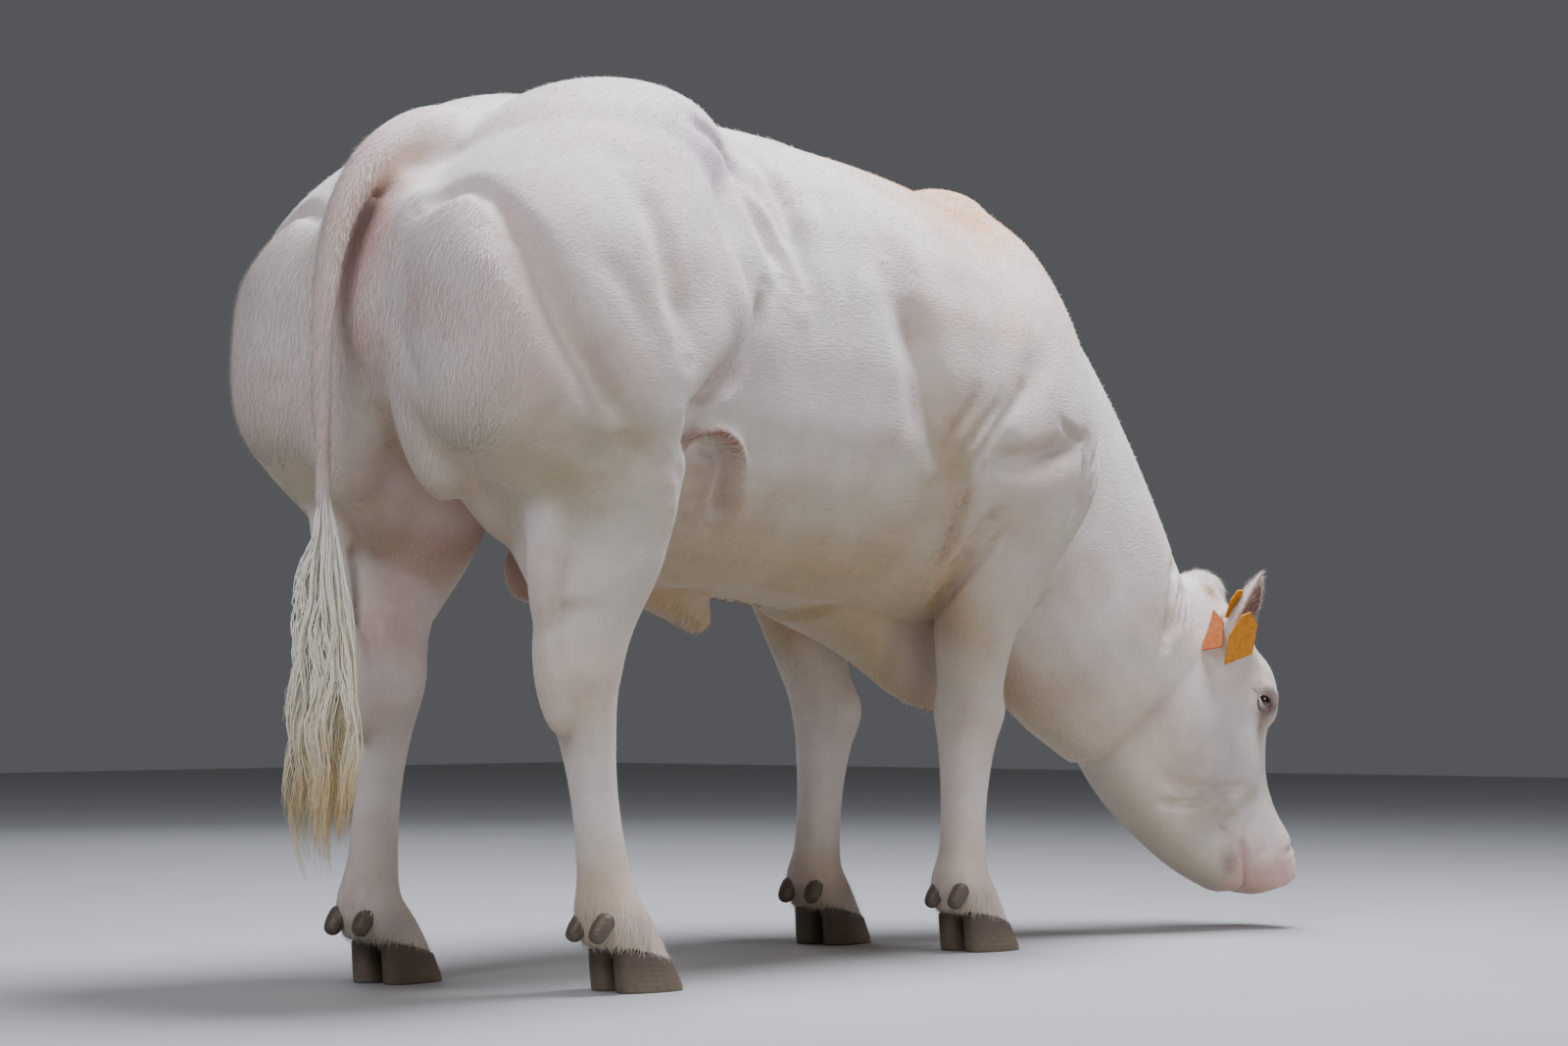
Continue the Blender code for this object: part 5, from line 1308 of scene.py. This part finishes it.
def furShares(places, normals):
    # for each piece of the coat, how thick it grows at each point, from 0 to 1
    x, y, z = places.T
    local, onEar = inHead(places), onEars(places)
    ears, inner, eyes = np.zeros(len(x)), np.zeros(len(x)), np.ones(len(x))
    for side in (-1, 1):
        ear = ramped(earReach(local, side)[1], 0.03, 0.06) * onEar * (local[:, 1] * side > 0)
        ears = np.maximum(ears, ear)
        inner = np.maximum(inner, ear * ramped((normals @ headAxes) @ np.array(earAxes(side)[1]), 0.2, 0.6))
        eyes *= ramped(lengths(local - onSide(eyeball["place"], side)), 0.026, 0.034)
    bareNose = ramped(local[:, 0], 0.565, 0.6)
    head = ramped(x, 1.0, 1.08) * (1 - ears) * (1 - bareNose) * eyes
    tail = ramped(x, -0.9, -0.965) * ramped(z, 0.72, 0.76)
    scrotum = (lengths(places - (-0.555, 0, 0.68)) < 0.1) * (z < 0.76)
    body = (1 - ramped(x, 1.0, 1.08)) * (1 - tail) * (1 - scrotum * 0.8)
    feet = ramped(z, 0.16, 0.1) * (x < 0.95)
    crown = bell(lengths(local - (0.03, 0, -0.02)) / 0.07)
    folds = np.zeros(len(x))
    for side in (1, -1):
        marks = [(onSide(line, side), *rest) for line, *rest in furEdges]
        for line, width, strength in laidOn(places, marks):
            folds = np.maximum(folds, strength * besideLine(places, line, width))
    folds = np.maximum(np.maximum(folds * (body + head > 0.5), feet * 0.8), crown * 0.9)
    return {"coatTrunk": body * (x >= -0.3) * (x <= 0.12), "coatHind": body * (x < -0.3),
            "coatFore": body * (x > 0.12), "coatHead": head, "coatEars": ears * (1 - 0.55 * inner),
            "coatTail": tail, "coatFolds": np.where(folds > 0.08, folds, 0)}


def tuftBlade():
    # one lock of a few hairs: a narrow blade that bends over and ends in a point, 1 long
    mesh = bmesh.new()
    rows = []
    for t, wide in ((0.0, 0.5), (0.4, 0.42), (0.75, 0.24)):
        rows.append([mesh.verts.new((t, side * wide, 0.1 * t * (1 - t))) for side in (-1, 1)])
    tip = mesh.verts.new((1.0, 0, -0.03))
    for lower, upper in zip(rows, rows[1:]):
        mesh.faces.new((lower[0], upper[0], upper[1], lower[1]))
    mesh.faces.new((rows[-1][0], tip, rows[-1][1]))
    made = pieceFrom("tuftBlade", mesh)
    patch = made.data.attributes.new("patch", "FLOAT_VECTOR", "POINT")
    flat = np.array([(v.co.x - 0.5, v.co.y, 0) for v in made.data.vertices], np.float32)
    patch.data.foreach_set("vector", flat.ravel())
    return made


def coatTree():
    # scatters the blade over a skin, along its lie, and gives each one a patch of the bake map at its root
    tree = bpy.data.node_groups.new("growCoat", "GeometryNodeTree")
    for name, kind in (("Skin", "Geometry"), ("Blade", "Object"), ("Density", "Float"), ("Length", "Float"),
                       ("Width", "Float"), ("Lift", "Float"), ("Seed", "Int"), ("Finish", "Material")):
        tree.interface.new_socket(name, in_out="INPUT", socket_type="NodeSocket" + kind)
    tree.interface.new_socket("Coat", in_out="OUTPUT", socket_type="NodeSocketGeometry")
    given = addNode(tree, "NodeGroupInput").outputs
    stored = {name: addNode(tree, "GeometryNodeInputNamedAttribute", {"data_type": kind, 0: name}).outputs[0]
              for name, kind in (("fur", "FLOAT"), ("lie", "FLOAT_VECTOR"), ("root", "FLOAT_VECTOR"),
                                 ("patch", "FLOAT_VECTOR"))}
    thick = addNode(tree, "ShaderNodeMath", {"operation": "MULTIPLY"}, {0: stored["fur"], 1: given["Density"]})
    points = addNode(tree, "GeometryNodeDistributePointsOnFaces", {"distribute_method": "RANDOM"},
                     {"Mesh": given["Skin"], "Density": thick.outputs[0], "Seed": given["Seed"]})
    # each tuft takes the coat's lie, lifted off the skin and ruffled a little
    lifted = addNode(tree, "ShaderNodeVectorMath", {"operation": "SCALE"},
                     {0: points.outputs["Normal"], "Scale": given["Lift"]})
    ruffle = addNode(tree, "FunctionNodeRandomValue", {"data_type": "FLOAT_VECTOR", 0: (-0.3, -0.3, -0.3),
                                                       1: (0.3, 0.3, 0.3)}, {"Seed": given["Seed"]})
    way = addNode(tree, "ShaderNodeVectorMath", {"operation": "ADD"}, {0: stored["lie"], 1: lifted.outputs[0]})
    way = addNode(tree, "ShaderNodeVectorMath", {"operation": "ADD"}, {0: way.outputs[0], 1: ruffle.outputs[0]})
    turn = addNode(tree, "FunctionNodeAxesToRotation", {"primary_axis": "X", "secondary_axis": "Z"},
                   {0: way.outputs[0], 1: points.outputs["Normal"]})
    long = addNode(tree, "FunctionNodeRandomValue", {"data_type": "FLOAT", 2: 0.65, 3: 1.3},
                   {"Seed": given["Seed"]})
    reach = addNode(tree, "ShaderNodeMath", {"operation": "MULTIPLY"},
                    {0: long.outputs[1], 1: given["Length"]}).outputs[0]
    size = addNode(tree, "ShaderNodeCombineXYZ", {}, {0: reach, 1: given["Width"], 2: reach})
    blade = addNode(tree, "GeometryNodeObjectInfo", {"transform_space": "ORIGINAL"}, {"Object": given["Blade"]})
    grown = addNode(tree, "GeometryNodeInstanceOnPoints", {}, {
        "Points": points.outputs["Points"], "Instance": blade.outputs["Geometry"],
        "Rotation": turn.outputs[0], "Scale": size.outputs[0]})
    real = addNode(tree, "GeometryNodeRealizeInstances", {}, {"Geometry": grown.outputs[0]})
    small = addNode(tree, "ShaderNodeVectorMath", {"operation": "SCALE", "Scale": bakePatch},
                    {0: stored["patch"]})
    spot = addNode(tree, "ShaderNodeVectorMath", {"operation": "ADD"}, {0: stored["root"], 1: small.outputs[0]})
    mapped = addNode(tree, "GeometryNodeStoreNamedAttribute", {"data_type": "FLOAT2", "domain": "CORNER",
                     "Name": "OFBake"}, {"Geometry": real.outputs[0], "Value": spot.outputs[0]})
    finished = addNode(tree, "GeometryNodeSetMaterial", {}, {"Geometry": mapped.outputs[0],
                                                             "Material": given["Finish"]})
    addNode(tree, "NodeGroupOutput", {}, {0: finished.outputs[0]})
    return tree


def hairMaterial():
    # fine cow hair: matt, the skin's own colours with their painted shade and highlights, a little paler, with
    # darker and lighter hairs
    hair, tree, shader = freshMaterial("FineCowHair")
    tint = addNode(tree, "ShaderNodeAttribute", {"attribute_name": "tint"}).outputs["Color"]
    where = addNode(tree, "ShaderNodeTexCoord").outputs["Object"]
    strand = addNode(tree, "ShaderNodeTexNoise", {"Scale": 350.0, "Detail": 1.0}, {"Vector": where})
    share = addNode(tree, "ShaderNodeMapRange", {"From Min": 0.3, "From Max": 0.7, "To Min": 0.05,
                                                 "To Max": 0.45}, {"Value": strand.outputs["Fac"]})
    mixed = addNode(tree, "ShaderNodeMix", {"data_type": "RGBA", 7: opaque("#F4EFEA")},
                    {0: share.outputs[0], 6: tint})
    shaded(tree, shader, {"Roughness": 0.6, "Sheen Weight": 0.25, "Specular IOR Level": 0.3},
           {"Base Color": mixed.outputs[2]})
    return hair


def unwrappedSpots(made):
    # one corner's place on the unwrap for each point of the skin
    loops = np.empty(len(made.data.loops), np.int32)
    made.data.loops.foreach_get("vertex_index", loops)
    corners = np.empty(len(loops) * 2, np.float32)
    made.data.uv_layers["OFBake"].data.foreach_get("uv", corners)
    spots = np.zeros((len(made.data.vertices), 3), np.float32)
    spots[loops, :2] = corners.reshape(-1, 2)
    return spots


def makeCoat(roots):
    places, normals = readVerts(skin.data) - np.array(moved), readVerts(skin.data, "normal")
    shares, lie = furShares(places, normals), lieOfCoat(places, normals)
    blade, tree, hair = tuftBlade(), coatTree(), hairMaterial()
    sockets = {item.name: item.identifier for item in tree.interface.items_tree if item.in_out == "INPUT"}
    for name, settings in coatPieces.items():
        coat = placed(name, skin.data.copy())
        coat.data.materials.clear()
        for key, values in (("lie", lie), ("root", roots)):
            layer = coat.data.attributes.new(key, "FLOAT_VECTOR", "POINT")
            layer.data.foreach_set("vector", np.asarray(values, np.float32).ravel())
        paint(coat, "fur", shares[name])
        grow = coat.modifiers.new("grow", "NODES")
        grow.node_group = tree
        for key, value in {"Blade": blade, "Finish": hair, **settings}.items():
            grow[sockets[key]] = value
        settled(coat)
        for extra in ("fur", "lie", "root", "patch", "limb"):
            if extra in coat.data.attributes:
                coat.data.attributes.remove(coat.data.attributes[extra])
        smoothShaded(coat)
        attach(coat, "root")
        print(name, len(coat.data.vertices) // 7, "tufts")
    bpy.data.objects.remove(blade, do_unlink=True)


unwrapSkin(skin)
rootSpots = unwrappedSpots(skin)
makeCoat(rootSpots)


switchHair = {
    "locks": 34, "strands": 17, "rings": 15,
    "middle": (-1.028, 0.0),       # where the tail hangs
    "top": 0.8, "bottom": 0.185,
    "thick": 0.0013,               # radius of a strand at its root
    # height down the switch from 0 to 1, radius of the whole there
    "outline": ((0.0, 0.013), (0.08, 0.02), (0.2, 0.029), (0.4, 0.04), (0.62, 0.058), (0.8, 0.056),
                (1.0, 0.03)),
    "colours": ("#FFFCF4", "#F8ECCB", "#DDB668"),      # at the root, down the switch, at the tips
    "goldenAngle": 2.399963,
    "seed": 41,
}


def swayed(height, turns, phase, share):
    # how far a wave carries a hair sideways, to the back and to the left
    return (height * math.sin(turns[0] * share + phase[0]), height * math.cos(turns[1] * share + phase[1]))


def lockLine(layer, around, drift, wave, turn, spread, small, first, last):
    # the middle line of one strand, from its root to its tip
    heights, radii = zip(*switchHair["outline"])
    line = []
    for ring in range(switchHair["rings"]):
        t = first + (last - first) * ring / (switchHair["rings"] - 1)
        share = (t - first) / (last - first)
        grown = min(1.0, 3 * share)
        radius = np.interp(t, heights, radii) * layer * min(1.0, 0.35 + 1.9 * share)
        own = 0.011 * (0.45 + 0.75 * math.sin(math.pi * min(1, share * 1.1))) * spread
        angle = around + drift * share
        broad = swayed(wave[0] * grown, (wave[1] * math.tau, wave[1] * 2.6), (wave[2], wave[2] * 2), share)
        fine = swayed(small[0] * grown, (small[1] * 3, small[1] * 2.6), (small[2], small[2]), share)
        x = radius * math.cos(angle) + own * math.cos(turn) + broad[0] + fine[0]
        y = radius * math.sin(angle) + own * math.sin(turn) + broad[1] + fine[1]
        height = switchHair["top"] + (switchHair["bottom"] - switchHair["top"]) * t
        line.append(Vector((switchHair["middle"][0] + x, switchHair["middle"][1] + y, height)))
    return line


def hangingStrands():
    # strands hang in wavy locks: each lock keeps together and frays towards its tip
    chance = random.Random(switchHair["seed"])
    for lock in range(switchHair["locks"]):
        around = lock * switchHair["goldenAngle"] + chance.uniform(-0.2, 0.2)
        layer = math.sqrt((lock + 0.5) / switchHair["locks"])
        start = 0.34 * (1 - layer) + chance.uniform(0, 0.1)
        end = chance.uniform(0.74, 1.0) if lock % 3 else chance.uniform(0.55, 0.78)
        wave = [chance.uniform(0.004, 0.01), chance.uniform(2.2, 3.6), chance.uniform(0, math.tau)]
        drift = chance.uniform(-0.5, 0.5)
        shade = chance.uniform(0.9, 1.03)
        for strand in range(switchHair["strands"]):
            turn, spread = chance.uniform(0, math.tau), math.sqrt(chance.random())
            if start > 0.05:
                first = min(start + chance.uniform(-0.04, 0.06), end - 0.2)
            else:
                first = chance.uniform(0, 0.07)
            last = end + chance.uniform(-0.1, 0.02)
            small = [chance.uniform(0.0008, 0.0022), chance.uniform(5, 9), chance.uniform(0, math.tau)]
            line = lockLine(layer, around, drift, wave, turn, spread, small, first, last)
            # the inner locks are painted up to a tenth darker, as shade inside the switch, over a random tone
            # for each lock
            yield line, turn, shade * (0.92 + 0.1 * layer)


def makeSwitch():
    top, bottom, rings = switchHair["top"], switchHair["bottom"], switchHair["rings"]
    pale, cream, ochre = (np.array(straight(c)) for c in switchHair["colours"])
    points, faces, tints, roots = [], [], [], []
    for line, turn, shade in hangingStrands():
        base = len(points)
        for ring, place in enumerate(line):
            share = ring / (rings - 1)
            wide = switchHair["thick"] * (1 - share**2.5 * 0.9)
            ahead = (line[min(ring + 1, rings - 1)] - line[max(ring - 1, 0)]).normalized()
            side = ahead.cross(Vector((math.cos(turn), math.sin(turn), 0))).normalized()
            other = ahead.cross(side)
            t = (top - place.z) / (top - bottom)
            colour = pale * (1 - t) + cream * t if t < 0.75 else cream
            colour = colour + (ochre - colour) * max(0.0, min(1.0, (t - 0.55) / 0.45)) ** 1.3
            for corner in range(3):
                angle = math.tau * corner / 3 + turn
                points.append(place + side * math.cos(angle) * wide + other * math.sin(angle) * wide)
                tints.append(colour * shade)
                roots.append(line[0])
        for ring in range(rings - 1):
            for corner in range(3):
                a, b = base + ring * 3 + corner, base + ring * 3 + (corner + 1) % 3
                faces.append((a, b, b + 3, a + 3))
        faces.append((base + 2, base + 1, base))
        faces.append(tuple(base + (rings - 1) * 3 + corner for corner in range(3)))
    made = placed("switchLocks", bpy.data.meshes.new("switchLocks"))
    made.data.from_pydata([p + Vector(moved) for p in points], [], faces)
    smoothShaded(made)
    paint(made, "tint", np.array(tints))
    # each strand is a small patch of the bake map at the place of the skin nearest its root
    near = treeOf([vert.co for vert in skin.data.vertices])
    layer = made.data.uv_layers.new(name="OFBake")
    spots = {}
    for loop in made.data.loops:
        root = roots[loop.vertex_index]
        key = tuple(round(v, 5) for v in root)
        if key not in spots:
            spots[key] = rootSpots[near.find(root + Vector(moved))[1]][:2]
        ring = (loop.vertex_index % (rings * 3)) // 3
        patch = (ring / rings - 0.5, loop.vertex_index % 3 / 3 - 0.5)
        layer.data[loop.index].uv = [spots[key][i] + patch[i] * bakePatch for i in (0, 1)]
    made.data.materials.append(switchMaterial())
    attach(made, "root")
    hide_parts("tail_switch")
    print("switch of", switchHair["locks"] * switchHair["strands"], "strands")


def switchMaterial():
    # long coarse tail hair: glossier than the coat, its colour varying along each strand
    hair, tree, shader = freshMaterial("LongTailHair")
    tint = addNode(tree, "ShaderNodeAttribute", {"attribute_name": "tint"}).outputs["Color"]
    where = addNode(tree, "ShaderNodeTexCoord").outputs["Object"]
    long = addNode(tree, "ShaderNodeMapping", {"Scale": (500, 500, 30)}, {"Vector": where})
    strand = addNode(tree, "ShaderNodeTexNoise", {"Scale": 1.0, "Detail": 2.0}, {"Vector": long.outputs[0]})
    share = addNode(tree, "ShaderNodeMapRange", {"To Min": 1.0, "To Max": 1.4},
                    {"Value": strand.outputs["Fac"]})
    mixed = addNode(tree, "ShaderNodeVectorMath", {"operation": "SCALE"}, {0: tint, "Scale": share.outputs[0]})
    shaded(tree, shader, {"Roughness": 0.45, "Specular IOR Level": 0.35}, {"Base Color": mixed.outputs[0]})
    return hair


makeSwitch()


view = {
    "place": Vector((-4.31872507, -3.66410815, 0.45400329)) + moved,
    "yaw": math.radians(39.80936),
    "pitch": math.radians(3.28013),
    "lens": 3240.77 / 1600 * 36,      # focal length in pixels of a frame 1600 wide, on a 36 mm sensor
}


def makeCamera():
    data = bpy.data.cameras.new("camera")
    data.sensor_width = 36
    data.lens = view["lens"]
    data.clip_end = 60
    made = placed("camera", data)
    level = math.cos(view["pitch"])
    ahead = Vector((math.cos(view["yaw"]) * level, math.sin(view["yaw"]) * level, math.sin(view["pitch"])))
    made.location = view["place"]
    made.rotation_euler = ahead.to_track_quat("-Z", "Y").to_euler()
    bpy.context.scene.camera = made


studio = {
    "floorHalf": 14,
    "floorTone": (0.44, 0.49),
    "sky": ("#E6EAF0", 0.12),  # round soft lamps: name, place, where it aims, width in metres, watts, colour
    "lamps": (
        ("overhead", (0.6, -0.6, 4.6), (0, 0, 0.8), 2.2, 430, "#EDF3FF"),
        ("side", (0.8, -6.0, 3.8), (0, 0, 0.9), 1.8, 60, "#FFF4E6"),
        ("rear", (-5.0, -1.5, 4.4), (-0.4, 0, 0.9), 2.2, 150, "#F1F3FF"),
        ("back", (2.5, 5.0, 3.2), (0, 0, 0.9), 2.5, 50, "#EEF3FF"),
    ),
}


def makeFloor():
    # matt painted floor, its pale grey a little uneven
    mesh = bmesh.new()
    half = studio["floorHalf"]
    mesh.faces.new([mesh.verts.new((x * half, y * half, 0)) for x, y in ((-1, -1), (1, -1), (1, 1), (-1, 1))])
    floor = pieceFrom("floor", mesh)
    paintwork, tree, shader = freshMaterial("PaleStudioFloor")
    where = addNode(tree, "ShaderNodeTexCoord").outputs["Object"]
    grain = addNode(tree, "ShaderNodeTexNoise", {"Scale": 3.0, "Detail": 5.0}, {"Vector": where})
    low, high = studio["floorTone"]
    tone = addNode(tree, "ShaderNodeMapRange", {"To Min": low, "To Max": high}, {"Value": grain.outputs["Fac"]})
    shaded(tree, shader, {"Roughness": 0.8}, {"Base Color": tone.outputs[0]})
    floor.data.materials.append(paintwork)
    floor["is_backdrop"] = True


def makeLight():
    colour, strength = studio["sky"]
    sky = bpy.data.worlds.new("studio")
    sky.use_nodes = True
    background = sky.node_tree.nodes["Background"]
    background.inputs["Color"].default_value = opaque(colour)
    background.inputs["Strength"].default_value = strength
    bpy.context.scene.world = sky
    for name, place, aim, size, power, colour in studio["lamps"]:
        data = bpy.data.lights.new(name, "AREA")
        data.shape = "DISK"
        data.size = size
        data.energy = power
        data.color = straight(colour)
        lamp = placed(name, data)
        lamp.location = place
        lamp.rotation_euler = (Vector(aim) - Vector(place)).to_track_quat("-Z", "Y").to_euler()


makeCamera()
makeFloor()
makeLight()
print("camera, floor and lamps placed")

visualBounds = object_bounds()
plain = [[[float(v) for v in corner] for corner in box] for box in (cadBounds, visualBounds)]
